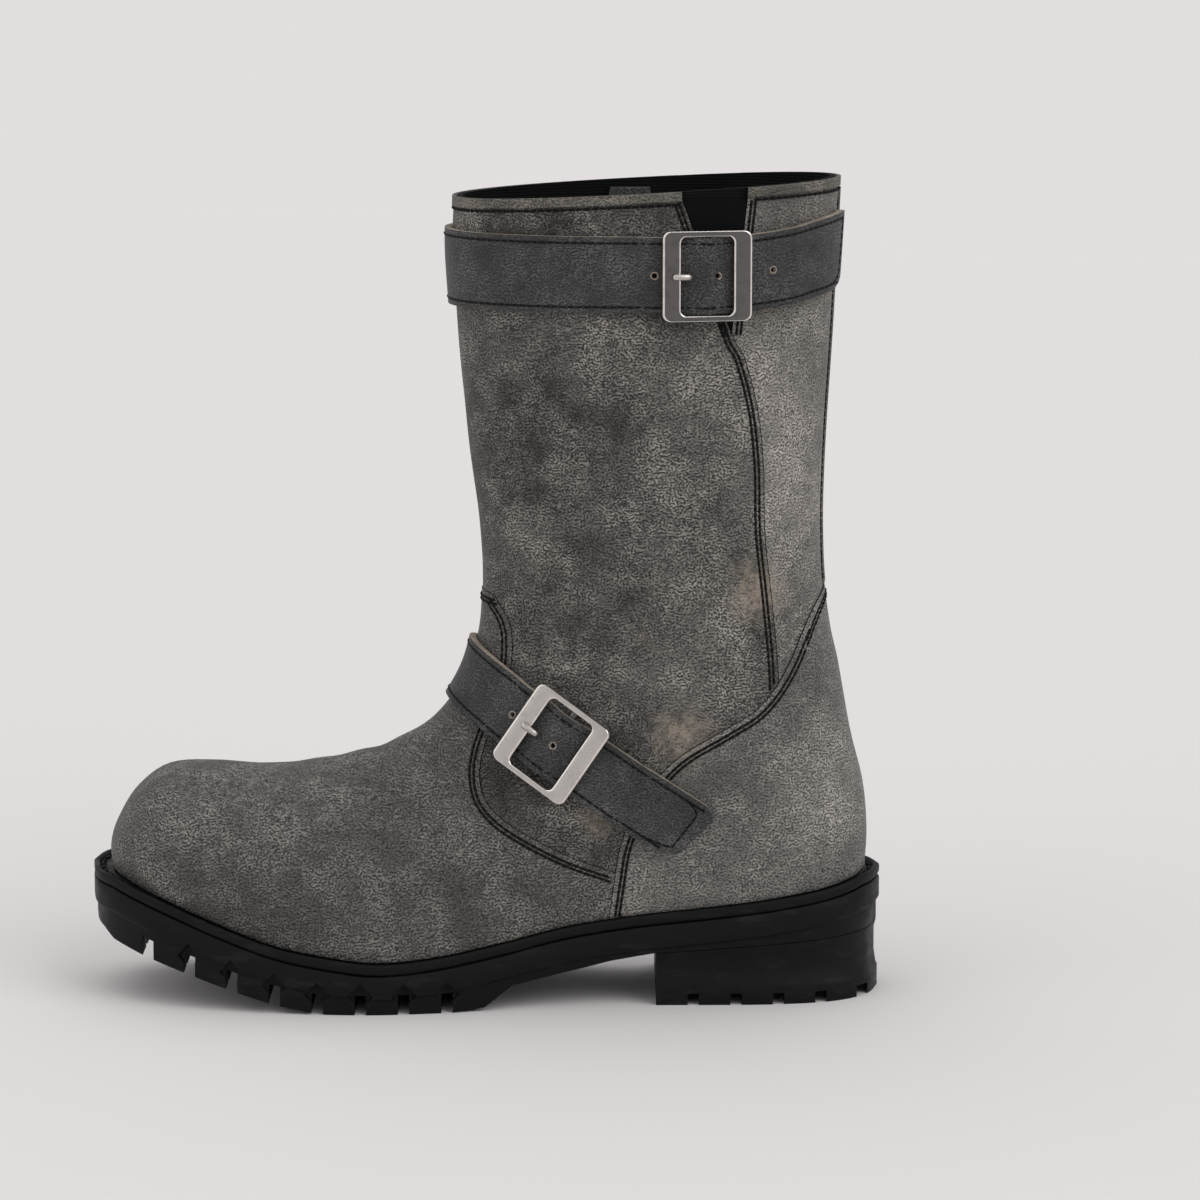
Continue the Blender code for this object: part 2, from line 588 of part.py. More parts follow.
# Heel block: seated under the outsole's rear, cut square at its breast
heel = stack("heel", [
    sole_loop(-0.0006, lambda x: 0.0),
    sole_loop(-0.0006, lambda x: 0.0085),
    sole_loop(-0.0020, lambda x: 0.0150),
    sole_loop(-0.0020, lambda x: arch(x) - GAP - 0.0030),
    sole_loop(-0.0012, lambda x: arch(x) - GAP),
], "black rubber")
heel_lower = slotted(lambda x: 0.0, HEEL_BREAST_X, 0.163, HEEL_LUG_DEPTH, LUG_PITCH, LUG_GAP)
heel_lower = [(x, z if z > 0 else -0.005) for x, z in heel_lower]
heel_outline = heel_lower + [(FAR_BACK, heel_lower[-1][1]), (FAR_BACK, 0.06), (HEEL_BREAST_X, 0.06)]
carve(heel, side_prism("heel_cut", heel_outline), "INTERSECT")

# Straps: bands on the panels, lifted over the chape and again over the buckle's centre bar
BUCKLE_LIFT = CHAPE_LEATHER + GAP
TOP_SEAT = GAP + FRONT_LEATHER + GAP
INSTEP_SEAT = GAP + VAMP_LEATHER + GAP


def form_normal(place, around):
    """Outward direction of the form, from short steps along and across its face."""
    along = form_point(place + 0.05, around) - form_point(place - 0.05, around)
    across = form_point(place, around + 0.01) - form_point(place, around - 0.01)
    return along.cross(across).normalized()


def halved(low, high, value, target):
    """Where a rising value meets its target, by halving."""
    for _ in range(26):
        middle = (low + high) / 2
        if value(middle) < target:
            low = middle
        else:
            high = middle
    return (low + high) / 2


class Strap:
    """A band on the form: how far across and along it a point lies, in metres from its buckle."""

    def __init__(self, name, seat, centre, slope, half):
        self.name, self.seat, self.half = name, seat, half
        self.centre = Vector((centre[0] / 100 * SOLE_LENGTH, centre[1] / 100 * BOOT_HEIGHT))
        self.run = Vector((math.cos(slope), -math.sin(slope)))

    def along(self, spot):
        """Distance along the band in side view, to the rear of the buckle's middle."""
        return self.run.dot(Vector((spot.x, spot.z)) - self.centre)

    def across(self, spot):
        """Distance across the band in side view, above its middle line, with the band's own bend taken out."""
        reach = Vector((spot.x, spot.z)) - self.centre
        return self.run.x * reach.y - self.run.y * reach.x - self.bend(self.along(spot))

    def bend(self, along):
        """Rise of the band's middle line off straight."""
        return 0.0

    def place(self, around, across):
        """Place in the form's table where the band has this distance across."""
        return halved(6.0, 25.4, lambda place: self.across(form_point(place, around)), across)

    def around(self, along, side):
        """Turn round the form where the band's middle reaches this distance along, on one side."""
        def reached(turn):
            return self.along(form_point(self.place(side * turn, 0.0), side * turn))
        return side * halved(0.05, 0.98, reached, along)

    def lift(self, along, side):
        """Height of the band's underside over its seat."""
        if side > 0:
            return 0.0
        rise = min(max((along + LIFT_FRONT) / LIFT_RAMP, 0.0), 1.0) * min(max((LIFT_BACK - along) / LIFT_RAMP, 0.0), 1.0)
        swell = math.cos(math.pi / 2 * along / BULGE_REACH) ** 2 if abs(along) < BULGE_REACH else 0.0
        return BUCKLE_LIFT * rise * rise * (3 - 2 * rise) + BULGE_RISE * swell

    def sheet(self, turns, rows, low, lifted=True):
        """An open grid on the band, one column for each turn and one row for each distance across."""
        bm = bmesh.new()
        bmesh.ops.create_grid(bm, x_segments=len(turns) - 1, y_segments=len(rows) - 1, size=0.5)
        for vert in bm.verts:
            column = round((vert.co.x + 0.5) * (len(turns) - 1))
            row = round((vert.co.y + 0.5) * (len(rows) - 1))
            around = turns[column][row]
            place = self.place(around, rows[row])
            spot = form_point(place, around)
            rise = self.lift(self.along(spot), around) if lifted else 0.0
            vert.co = spot + form_normal(place, around) * (low + rise)
        bmesh.ops.reverse_faces(bm, faces=bm.faces)
        return bm

    def frame(self):
        """Placement at the buckle: X along the strap, Y across it, Z out of the leather."""
        around = self.around(0.0, -1)
        place = self.place(around, 0.0)
        normal = form_normal(place, around)
        run = Vector((self.run.x, 0.0, self.run.y))
        run = (run - normal * run.dot(normal)).normalized()
        turn = Matrix((run, normal.cross(run), normal)).transposed().to_4x4()
        return Matrix.Translation(form_point(place, around)) @ turn


class TopStrap(Strap):
    """The band round the collar, which climbs towards the back."""

    def bend(self, along):
        return TOP_STRAP_CLIMB * max(along / TOP_STRAP_CLIMB_RUN, 0.0) ** 2


def thicken(piece, thickness):
    """Give a sheet its thickness, outwards."""
    modifier = piece.modifiers.new("Thickness", "SOLIDIFY")
    modifier.thickness = thickness
    modifier.offset = 1.0
    modifier.use_even_offset = True
    smooth(piece)


def spread(stops):
    """Turns from stop to stop, each stop with its turn in every row and the number of steps to the next."""
    turns = []
    for (low, steps), (high, _) in zip(stops, stops[1:]):
        turns += [[a + (b - a) * k / steps for a, b in zip(low, high)] for k in range(steps)]
    return turns + [stops[-1][0]]


def rounded_loop(bm, width, height, corner, z):
    """Vertices round a rectangle with rounded corners."""
    verts = []
    for quarter, (sx, sy) in enumerate(((1, 1), (-1, 1), (-1, -1), (1, -1))):
        for k in range(CORNER_STEPS + 1):
            angle = math.pi / 2 * (quarter + k / CORNER_STEPS)
            x = sx * (width / 2 - corner) + corner * math.cos(angle)
            y = sy * (height / 2 - corner) + corner * math.sin(angle)
            verts.append(bm.verts.new((x, y, z)))
    return verts


def buckle(strap, height):
    """A flat frame with a raised front, joined to a staple that carries the centre bar behind the strap."""
    seat = strap.seat + STRAP_LEATHER + BUCKLE_LIFT + GAP
    inner = (BUCKLE_WIDTH - 2 * BUCKLE_SIDE_BAR, height - 2 * BUCKLE_END_BAR)
    bm = bmesh.new()
    loops = [
        rounded_loop(bm, BUCKLE_WIDTH, height, BUCKLE_CORNER, seat),
        rounded_loop(bm, BUCKLE_WIDTH, height, BUCKLE_CORNER, seat + BUCKLE_THICKNESS - BUCKLE_EDGE),
        rounded_loop(bm, BUCKLE_WIDTH - 2 * BUCKLE_EDGE, height - 2 * BUCKLE_EDGE, BUCKLE_CORNER - BUCKLE_EDGE,
                     seat + BUCKLE_THICKNESS),
        rounded_loop(bm, inner[0] + 2 * BUCKLE_EDGE, inner[1] + 2 * BUCKLE_EDGE, BUCKLE_CORNER + BUCKLE_EDGE,
                     seat + BUCKLE_THICKNESS),
        rounded_loop(bm, inner[0], inner[1], BUCKLE_CORNER, seat + BUCKLE_THICKNESS - BUCKLE_EDGE),
        rounded_loop(bm, inner[0], inner[1], BUCKLE_CORNER, seat),
    ]
    for before, after in zip(loops, loops[1:] + loops[:1]):
        for k in range(len(before)):
            following = (k + 1) % len(before)
            bm.faces.new((before[k], before[following], after[following], after[k]))
    bmesh.ops.recalc_face_normals(bm, faces=bm.faces)
    turn = strap.frame()
    bmesh.ops.transform(bm, matrix=turn, verts=bm.verts)
    piece = keep(strap.name.replace("strap", "buckle"), bm, "nickel")
    smooth(piece)
    low, high = strap.seat, strap.seat + CENTRE_BAR
    side, post = height / 2 - BUCKLE_EDGE, height / 2 - BUCKLE_END_BAR
    outline = [(-side, low), (side, low), (side, seat + BUCKLE_EDGE), (post, seat + BUCKLE_EDGE), (post, high),
               (-post, high), (-post, seat + BUCKLE_EDGE), (-side, seat + BUCKLE_EDGE)]
    staple = bmesh.new()
    face = staple.faces.new([staple.verts.new((-CENTRE_BAR / 2, y, z)) for y, z in outline])
    drawn = bmesh.ops.extrude_face_region(staple, geom=[face])
    moved = [item for item in drawn["geom"] if isinstance(item, bmesh.types.BMVert)]
    bmesh.ops.translate(staple, vec=(CENTRE_BAR, 0, 0), verts=moved)
    bmesh.ops.recalc_face_normals(staple, faces=staple.faces)
    bmesh.ops.transform(staple, matrix=turn, verts=staple.verts)
    carve(piece, keep_cutter(strap.name + "_staple", staple), "UNION")
    return piece


def prong(strap):
    """The prong: a bent pin that rises from the strap's hole and rests on the frame's front bar."""
    leather = strap.seat + BUCKLE_LIFT + STRAP_LEATHER + strap.lift(-PRONG_HOLE, -1) - BUCKLE_LIFT
    rest = strap.seat + STRAP_LEATHER + BUCKLE_LIFT + GAP + BUCKLE_THICKNESS + GAP + PRONG_RADIUS
    inner_edge = BUCKLE_WIDTH / 2 - BUCKLE_SIDE_BAR
    route = [(-PRONG_HOLE + 0.0006, leather + PRONG_CLEARANCE), (-PRONG_HOLE + 0.0002, (leather + rest) / 2),
             (-PRONG_HOLE - 0.0008, rest - 0.0004), (-inner_edge - 0.0006, rest + 0.0002),
             (-inner_edge - PRONG_REST, rest)]
    curve = bpy.data.curves.new(strap.name.replace("strap", "prong"), "CURVE")
    curve.dimensions = "3D"
    curve.bevel_depth = PRONG_RADIUS
    curve.bevel_resolution = 2
    curve.use_fill_caps = True
    spline = curve.splines.new("POLY")
    spline.points.add(len(route) - 1)
    turn = strap.frame()
    for point, (x, z) in zip(spline.points, route):
        point.co = (*(turn @ Vector((x, 0.0, z))), 1.0)
    piece = bpy.data.objects.new(curve.name, curve)
    bpy.context.scene.collection.objects.link(piece)
    curve.materials.append(shade("nickel"))
    return piece


def chape(strap):
    """The short leather that holds the centre bar, sewn down behind the free end."""
    rows = [-CHAPE_HALF, 0.0, CHAPE_HALF]
    ends = [[strap.around(along, -1)] * len(rows) for along in (CHAPE_START, CHAPE_END)]
    bm = strap.sheet(spread(((ends[1], 4), (ends[0], 0))), rows, strap.seat, lifted=False)
    piece = keep(strap.name.replace("strap", "chape"), bm, "strap leather")
    thicken(piece, CHAPE_LEATHER)
    return piece


def wrap(strap, tip, far_end):
    """The strap itself, from its tip past the buckle and round the front to its sewn end."""
    rows = [-strap.half, 0.0, strap.half]
    at_back = strap.around(LIFT_BACK, -1)
    at_front = strap.around(-LIFT_FRONT, -1)
    arc_steps = UPPER_ARC_STEPS + LOWER_ARC_STEPS
    flat = [k / arc_steps for k in range(-arc_steps, arc_steps) if at_front < k / arc_steps < far_end]
    turns = spread(((tip, 4), ([at_back] * 3, 16), ([at_front] * 3, 0)))
    turns += [[turn] * 3 for turn in flat + [far_end]]
    piece = keep(strap.name, strap.sheet(turns, rows, strap.seat), "strap leather")
    thicken(piece, STRAP_LEATHER)
    return piece


top = TopStrap("top_strap", TOP_SEAT, TOP_BUCKLE_AT, 0.0, TOP_STRAP_HALF)
wrap(top, [-turn for turn in TOP_STRAP_TIP], TOP_STRAP_MEDIAL)
top_buckle = buckle(top, TOP_BUCKLE_HEIGHT)
prong(top)
chape(top)

instep = Strap("instep_strap", INSTEP_SEAT, INSTEP_BUCKLE_AT, math.radians(INSTEP_SLOPE), INSTEP_STRAP_HALF)
wrap(instep, [instep.around(reach, -1) for reach in INSTEP_TIP], instep.around(INSTEP_MEDIAL_END, 1))
buckle(instep, INSTEP_BUCKLE_HEIGHT)
prong(instep)
chape(instep)

# Pull loops: an upturned V of leather inside each side of the collar
PULL_APEX_HALF = PULL_WIDTH * 0.9
for side, y_low, y_high in (("lateral", -0.12, -0.01), ("medial", 0.01, 0.12)):
    pull = form_shell("pull_loop_" + side, -LINING_WALL - GAP - PULL_LEATHER, PULL_LEATHER, "strap leather")
    x, z = PULL_AT[0] / 100 * SOLE_LENGTH, PULL_AT[1] / 100 * BOOT_HEIGHT
    outline = [(x - PULL_APEX_HALF, z), (x + PULL_APEX_HALF, z), (x + PULL_SPREAD, z - PULL_DROP),
               (x + PULL_SPREAD - PULL_WIDTH, z - PULL_DROP), (x, z - PULL_WIDTH),
               (x - PULL_SPREAD + PULL_WIDTH, z - PULL_DROP), (x - PULL_SPREAD, z - PULL_DROP)]
    carve(pull, side_prism("pull_cut_" + side, outline, y_low, y_high), "INTERSECT")

# The origin goes under the middle of the boot's box
soles = [vert.co for vert in outsole.data.vertices]
xs = [co.x for co in soles]
ys = [co.y for co in soles] + [vert.co.y for vert in top_buckle.data.vertices]
shift = Vector((-(min(xs) + max(xs)) / 2, -(min(ys) + max(ys)) / 2, 0.0))
for piece in bpy.context.scene.objects:
    piece.location = shift
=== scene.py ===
"""Looks of the left engineer boot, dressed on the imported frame.

Metres. The toe points to -X, the outer (lateral) side to -Y, the inner (medial) side to +Y, up is +Z.
"""

import math

import bmesh
import bpy
from mathutils import Matrix, Vector
from mathutils.bvhtree import BVHTree


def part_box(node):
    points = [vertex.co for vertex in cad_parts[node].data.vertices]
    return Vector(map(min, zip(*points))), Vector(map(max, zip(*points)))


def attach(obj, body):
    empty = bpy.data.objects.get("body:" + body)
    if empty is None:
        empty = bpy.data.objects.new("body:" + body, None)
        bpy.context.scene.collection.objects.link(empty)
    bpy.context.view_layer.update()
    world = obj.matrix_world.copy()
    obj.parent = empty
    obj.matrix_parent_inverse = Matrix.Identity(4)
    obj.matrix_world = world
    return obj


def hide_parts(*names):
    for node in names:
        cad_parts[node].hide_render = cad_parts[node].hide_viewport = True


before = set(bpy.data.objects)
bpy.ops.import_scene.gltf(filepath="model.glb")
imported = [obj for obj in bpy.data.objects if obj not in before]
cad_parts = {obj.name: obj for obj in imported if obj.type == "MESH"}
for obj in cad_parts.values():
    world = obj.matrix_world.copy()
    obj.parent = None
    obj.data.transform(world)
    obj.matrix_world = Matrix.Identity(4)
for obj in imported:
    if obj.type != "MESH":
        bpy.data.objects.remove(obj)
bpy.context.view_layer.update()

# Upper: the hollow body of the boot, pulled over a last. Black textile lining on a leather wall 2 mm
# thick, open at the collar and underneath. Its sections are the last's own, and wear has creased it
# softly across the ball, at the front of the ankle and round the shaft.
SOLE_LENGTH = 0.318
BOOT_HEIGHT = 0.327
BALL_WIDTH = 0.100
GAP = 0.0003
LINING_WALL = 0.0020
FOOT_SECTIONS = 84
SHAFT_SECTIONS = 66
UPPER_ARC_STEPS = 24
LOWER_ARC_STEPS = 15

# The lasted form: one row for each section, from the toe tip to the collar. top_x and foot_x are per
# cent of SOLE_LENGTH, top_z and foot_z per cent of BOOT_HEIGHT, and the y and half width columns per
# cent of BALL_WIDTH. From the row named closed the two feet of a section meet on the back line.
FORM_COLUMNS = ("top_x", "top_z", "foot_x", "foot_z", "ridge_y", "foot_out", "foot_in",
                "wide_out", "wide_in", "widest", "round", "round_low", "welt")
FORM_ROWS = (
    ("toe tip", -46.7, 15.3, -46.7, 15.3, 5.0, -5.0, 5.0, -5.0, 5.0, 0.30, 2.2, 2.2, 10.5),
    ("toe wall", -46.9, 18.3, -45.9, 15.0, 5.0, 12.0, 22.0, 13.5, 23.5, 0.35, 2.2, 2.2, 10.0),
    ("toe brow", -46.0, 20.9, -43.4, 14.2, 5.0, 24.0, 32.5, 26.5, 34.5, 0.35, 2.2, 2.2, 9.0),
    ("toe crown", -43.9, 24.1, -39.3, 12.8, 4.5, 34.0, 40.0, 37.0, 42.5, 0.34, 2.25, 2.2, 8.0),
    ("toe peak", -40.3, 26.6, -33.0, 10.5, 4.0, 42.0, 45.5, 45.0, 47.5, 0.32, 2.3, 2.2, 7.5),
    ("toe box", -34.9, 27.0, -26.1, 8.2, 3.5, 47.0, 48.0, 49.5, 50.0, 0.29, 2.25, 2.2, 7.0),
    ("ball front", -28.3, 26.7, -19.5, 6.9, 3.0, 49.0, 49.0, 51.5, 51.0, 0.28, 2.15, 2.1, 7.0),
    ("ball", -22.0, 27.5, -13.2, 6.2, 2.5, 49.5, 48.0, 51.5, 50.0, 0.28, 2.05, 2.0, 7.0),
    ("ball back", -16.4, 28.6, -6.3, 6.7, 2.0, 47.0, 43.5, 49.0, 46.5, 0.30, 2.0, 1.9, 6.5),
    ("instep low", -11.5, 30.1, 1.6, 8.1, 1.5, 42.5, 38.0, 45.5, 43.0, 0.33, 1.95, 1.8, 6.0),
    ("instep", -7.2, 32.3, 10.1, 9.9, 1.0, 37.0, 33.0, 42.5, 40.5, 0.37, 1.95, 1.65, 5.5),
    ("instep high", -4.0, 35.6, 18.9, 11.1, 0.5, 34.0, 31.0, 41.5, 40.0, 0.41, 1.95, 1.5, 5.0),
    ("throat", -1.6, 39.8, 27.7, 12.0, 0.0, 33.5, 32.0, 41.5, 40.5, 0.45, 2.0, 1.35, 5.0),
    ("throat high", -0.3, 44.3, 35.5, 12.9, 0.0, 32.0, 31.5, 42.0, 41.5, 0.48, 2.05, 1.3, 5.5),
    ("ankle front", 0.1, 47.9, 42.1, 13.9, 0.0, 26.5, 26.5, 42.5, 42.0, 0.50, 2.1, 1.35, 6.5),
    ("heel turn", 0.1, 51.2, 45.9, 14.7, 0.0, 15.5, 15.5, 43.0, 42.5, 0.50, 2.1, 1.65, 7.5),
    ("closed", 0.0, 54.5, 47.3, 15.2, 0.0, 0.0, 0.0, 43.5, 43.0, 0.50, 2.1, 2.1, 8.0),
    ("heel", -0.2, 57.4, 47.5, 20.0, 0.0, 0.0, 0.0, 44.0, 43.5, 0.50, 2.15, 2.15, 8.0),
    ("heel high", -0.5, 60.2, 46.9, 26.0, 0.0, 0.0, 0.0, 44.5, 44.0, 0.50, 2.15, 2.15, 8.0),
    ("counter", -1.0, 63.6, 45.2, 32.7, 0.0, 0.0, 0.0, 45.5, 45.0, 0.50, 2.15, 2.15, 8.0),
    ("ankle back", -1.5, 67.3, 43.7, 40.7, 0.0, 0.0, 0.0, 46.5, 46.0, 0.50, 2.2, 2.2, 8.0),
    ("ankle", -2.0, 71.9, 42.1, 48.9, 0.0, 0.0, 0.0, 47.5, 47.0, 0.50, 2.2, 2.2, 8.0),
    ("shaft low", -2.6, 78.0, 41.6, 58.1, 0.0, 0.0, 0.0, 48.5, 48.0, 0.50, 2.25, 2.25, 8.0),
    ("shaft", -3.1, 85.0, 41.9, 68.8, 0.0, 0.0, 0.0, 50.0, 49.5, 0.50, 2.25, 2.25, 8.0),
    ("shaft high", -3.5, 91.7, 42.7, 82.0, 0.0, 0.0, 0.0, 51.5, 51.0, 0.50, 2.25, 2.25, 8.0),
    ("collar", -3.3, 97.6, 43.6, 100.0, 0.0, 0.0, 0.0, 52.5, 52.0, 0.50, 2.25, 2.25, 8.0),
)
CLOSED_ROW = 16
WELT_FRONT_END = (-60.0, 16.4)
WELT_BACK_END = (60.0, 16.0)

# Creases: soft troughs between two side view points, in rows of x, z, x, z in per cent of SOLE_LENGTH
# and BOOT_HEIGHT, the half width and depth in metres, and how much of the depth the outer and the inner
# side of the boot have. A depth below zero is a ridge.
CREASE_BLEND = 0.012
CREASE_ROWS = (
    (-19.0, 28.5, -13.5, 19.0, 0.0070, 0.0009, 1.0, 0.9),
    (-13.5, 29.5, -6.5, 19.5, 0.0065, 0.0011, 0.8, 1.0),
    (-24.0, 27.0, -20.0, 20.0, 0.0075, 0.0006, 1.0, 1.0),
    (-9.5, 28.0, -3.5, 21.5, 0.0060, -0.0006, 1.0, 1.0),
    (2.0, 41.0, 14.0, 37.5, 0.0070, 0.0010, 1.0, 0.8),
    (10.0, 45.5, 27.0, 41.0, 0.0085, 0.0013, 1.0, 1.0),
    (4.0, 52.5, 19.0, 50.0, 0.0090, 0.0010, 0.8, 1.0),
    (14.0, 55.5, 31.0, 52.0, 0.0095, -0.0007, 1.0, 1.0),
    (20.0, 47.0, 33.0, 50.5, 0.0075, 0.0009, 1.0, 0.7),
    (8.0, 62.5, 26.0, 60.0, 0.0120, 0.0009, 1.0, 0.8),
    (17.0, 70.0, 32.0, 67.0, 0.0130, 0.0008, 0.7, 1.0),
    (3.0, 74.0, 17.0, 76.0, 0.0130, 0.0007, 1.0, 1.0),
    (35.0, 47.0, 41.0, 43.5, 0.0070, 0.0008, 1.0, 1.0),
    (30.0, 26.5, 43.0, 28.5, 0.0100, 0.0007, 1.0, 1.0),
    (23.0, 21.0, 36.0, 19.5, 0.0090, -0.0004, 1.0, 1.0),
)


def curve_value(values, place):
    """Catmull-Rom curve through evenly spaced values, at a place counted in values."""
    last = len(values) - 1
    low = min(max(int(math.floor(place)), 0), last - 1)
    t = place - low
    before = values[low - 1] if low > 0 else 2 * values[0] - values[1]
    after = values[low + 2] if low + 2 <= last else 2 * values[last] - values[last - 1]
    here, there = values[low], values[low + 1]
    slope_here, slope_there = (there - before) / 2, (after - here) / 2
    return (here * (2 * t**3 - 3 * t**2 + 1) + slope_here * (t**3 - 2 * t**2 + t)
            + there * (3 * t**2 - 2 * t**3) + slope_there * (t**3 - t**2))


def smooth_line(points, steps=8):
    """Points of a Catmull-Rom curve through (x, z) points."""
    xs, zs = zip(*points)
    count = (len(points) - 1) * steps
    return [(curve_value(xs, k / steps), curve_value(zs, k / steps)) for k in range(count + 1)]


def height_on(line, x):
    """Height of an (x, z) line at x, straight between its points and beyond its ends."""
    for (x0, z0), (x1, z1) in zip(line, line[1:]):
        if x <= x1:
            return z0 + (z1 - z0) * (x - x0) / (x1 - x0)
    return z0 + (z1 - z0) * (x - x0) / (x1 - x0)


def side_points(line, z_size=BOOT_HEIGHT):
    """An (x, z) line of percentages in metres."""
    return [(x / 100 * SOLE_LENGTH, z / 100 * z_size) for x, z in line]


FORM = {name: [row[k + 1] for row in FORM_ROWS] for k, name in enumerate(FORM_COLUMNS)}
FORM_SIZES = {"top_x": SOLE_LENGTH, "foot_x": SOLE_LENGTH, "top_z": BOOT_HEIGHT, "foot_z": BOOT_HEIGHT,
              "widest": 100, "round": 100, "round_low": 100}


def form(column, place):
    """A column of the form's table at a place counted in rows, as a size or a plain number."""
    values = FORM[column]
    if column.startswith("foot") and place <= CLOSED_ROW:
        values = values[:CLOSED_ROW + 1]
    elif column.startswith("foot"):
        values = values[CLOSED_ROW:]
        place -= CLOSED_ROW
    return curve_value(values, place) / 100 * FORM_SIZES.get(column, BALL_WIDTH)


FEATHER_LINE = [(form("foot_x", k / 8), form("foot_z", k / 8)) for k in range(8 * CLOSED_ROW + 1)]
FEATHER_LINE = side_points((WELT_FRONT_END,)) + FEATHER_LINE + side_points((WELT_BACK_END,))
ARC_SHARE = 6 / 11


def form_point(place, around):
    """Point of the lasted form: place counts the table's rows from the toe tip to the collar, and around
    goes from -1, the outer feather or back line, over 0, the ridge, to 1, the inner one."""
    top = Vector((form("top_x", place), 0.0, form("top_z", place)))
    foot = Vector((form("foot_x", place), 0.0, form("foot_z", place)))
    side = "out" if around < 0 else "in"
    sign = -1.0 if around < 0 else 1.0
    foot_half = form("foot_" + side, place) if place < CLOSED_ROW else 0.0
    wide_half = form("wide_" + side, place)
    widest = form("widest", place)
    ridge = form("ridge_y", place)
    turn = min(abs(around), 1.0)
    if turn <= ARC_SHARE:
        power = 2.0 / form("round", place)
        angle = math.pi / 2 * (1 - turn / ARC_SHARE)
        height = widest + (1 - widest) * math.sin(angle) ** power
        spread = max(math.cos(angle), 0.0) ** power
        y = ridge + (sign * wide_half - ridge) * spread
    else:
        power = 2.0 / form("round_low", place)
        angle = math.pi / 2 * (turn - ARC_SHARE) / (1 - ARC_SHARE)
        height = widest * (1 - math.sin(angle) ** power)
        spread = max(math.cos(angle), 0.0) ** power
        y = sign * (foot_half + (wide_half - foot_half) * spread)
    spot = foot.lerp(top, height)
    spot.y = y
    return spot


def form_normal(place, around):
    """Outward direction of the form, from short steps along and across its face."""
    along = form_point(place + 0.05, around) - form_point(place - 0.05, around)
    across = form_point(place, around + 0.01) - form_point(place, around - 0.01)
    return along.cross(across).normalized()


def crease(spot):
    """Depth of the creases at a point, found from its side view."""
    depth = 0.0
    here = Vector((spot.x, spot.z))
    for x0, z0, x1, z1, half_width, deepest, outer, inner in CREASE_ROWS:
        start, end = (Vector(point) for point in side_points(((x0, z0), (x1, z1))))
        share = min(max((here - start).dot(end - start) / (end - start).length_squared, 0.0), 1.0)
        distance = (here - start.lerp(end, share)).length
        if distance < 3 * half_width:
            side = 0.5 + 0.5 * math.tanh(-spot.y / CREASE_BLEND)
            bell = math.exp(-(distance / half_width) ** 2)
            depth += deepest * bell * (inner + (outer - inner) * side)
    return depth


def section_places(low, high):
    """Places of the sections between two places of the form's table, both ends included."""
    places = [CLOSED_ROW * k / FOOT_SECTIONS for k in range(FOOT_SECTIONS)]
    rows = len(FORM_ROWS) - 1 - CLOSED_ROW
    places += [CLOSED_ROW + rows * k / SHAFT_SECTIONS for k in range(SHAFT_SECTIONS + 1)]
    return [low] + [place for place in places if low + 0.01 < place < high - 0.01] + [high]


def turn_places():
    """The turns of a whole section, from the outer foot to the inner one."""
    upper = [ARC_SHARE * k / UPPER_ARC_STEPS for k in range(UPPER_ARC_STEPS)]
    lower = [ARC_SHARE + (1 - ARC_SHARE) * k / LOWER_ARC_STEPS for k in range(LOWER_ARC_STEPS + 1)]
    half = upper + lower
    return [-turn for turn in reversed(half[1:])] + half


def laid_grid(bm, columns, rows, spot):
    """A grid whose vertices are laid on the spots of their column and row."""
    verts = bmesh.ops.create_grid(bm, x_segments=columns - 1, y_segments=rows - 1, size=0.5)["verts"]
    for vert in verts:
        column = round((vert.co.x + 0.5) * (columns - 1))
        row = round((vert.co.y + 0.5) * (rows - 1))
        vert.co = spot(column, row)
    return verts


def form_sheet(offset, low=0.0, high=25.0):
    """A part of the creased form between two of its places, as an open sheet set off along its normals."""
    places = section_places(low, high)
    turns = turn_places()
    bm = bmesh.new()
    laid_grid(bm, len(places), len(turns), lambda column, row: form_point(places[column], turns[row]))
    bmesh.ops.remove_doubles(bm, verts=bm.verts, dist=0.00002)
    bm.normal_update()
    outer = min(bm.faces, key=lambda face: face.calc_center_median().y)
    if outer.normal.y > 0:
        bmesh.ops.reverse_faces(bm, faces=bm.faces)
        bm.normal_update()
    normals = {vert: vert.normal.copy() for vert in bm.verts}
    for vert, normal in normals.items():
        vert.co += normal * (offset - crease(vert.co))
    return bm


WELT_LOW, WELT_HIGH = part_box("welt")
LAST_AT = Vector((0.0, (WELT_LOW[1] + WELT_HIGH[1]) / 2, 0.0))


def linked(name, data):
    """A new object with this data, in the scene."""
    item = bpy.data.objects.new(name, data)
    bpy.context.scene.collection.objects.link(item)
    return item


def as_object(name, bm, *materials, moved=LAST_AT):
    """A new object from a bmesh in the last's own frame, which is used up."""
    mesh = bpy.data.meshes.new(name)
    bm.to_mesh(mesh)
    bm.free()
    mesh.transform(Matrix.Translation(moved))
    for material in materials:
        mesh.materials.append(material)
    return linked(name, mesh)


def dressed(name, bm, material, stands_for=()):
    """Put a finished bmesh into the scene as a piece that rides on the boot."""
    piece = as_object(name, bm, material)
    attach(piece, "root")
    if stands_for:
        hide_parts(*stands_for)
    return piece


def baked(piece, angle=math.radians(35)):
    """Apply a piece's modifiers, and shade it smooth with its real edges sharp."""
    evaluated = piece.evaluated_get(bpy.context.evaluated_depsgraph_get())
    mesh = bpy.data.meshes.new_from_object(evaluated)
    piece.modifiers.clear()
    piece.data = mesh
    mesh.shade_smooth()
    mesh.set_sharp_from_angle(angle=angle)
    return piece


def thicken(piece, thickness, offset=1.0, rim=0):
    """Give a sheet its thickness; rim is the slot that its cut edges take."""
    modifier = piece.modifiers.new("Thickness", "SOLIDIFY")
    modifier.thickness = thickness
    modifier.offset = offset
    modifier.use_even_offset = True
    modifier.material_offset_rim = rim


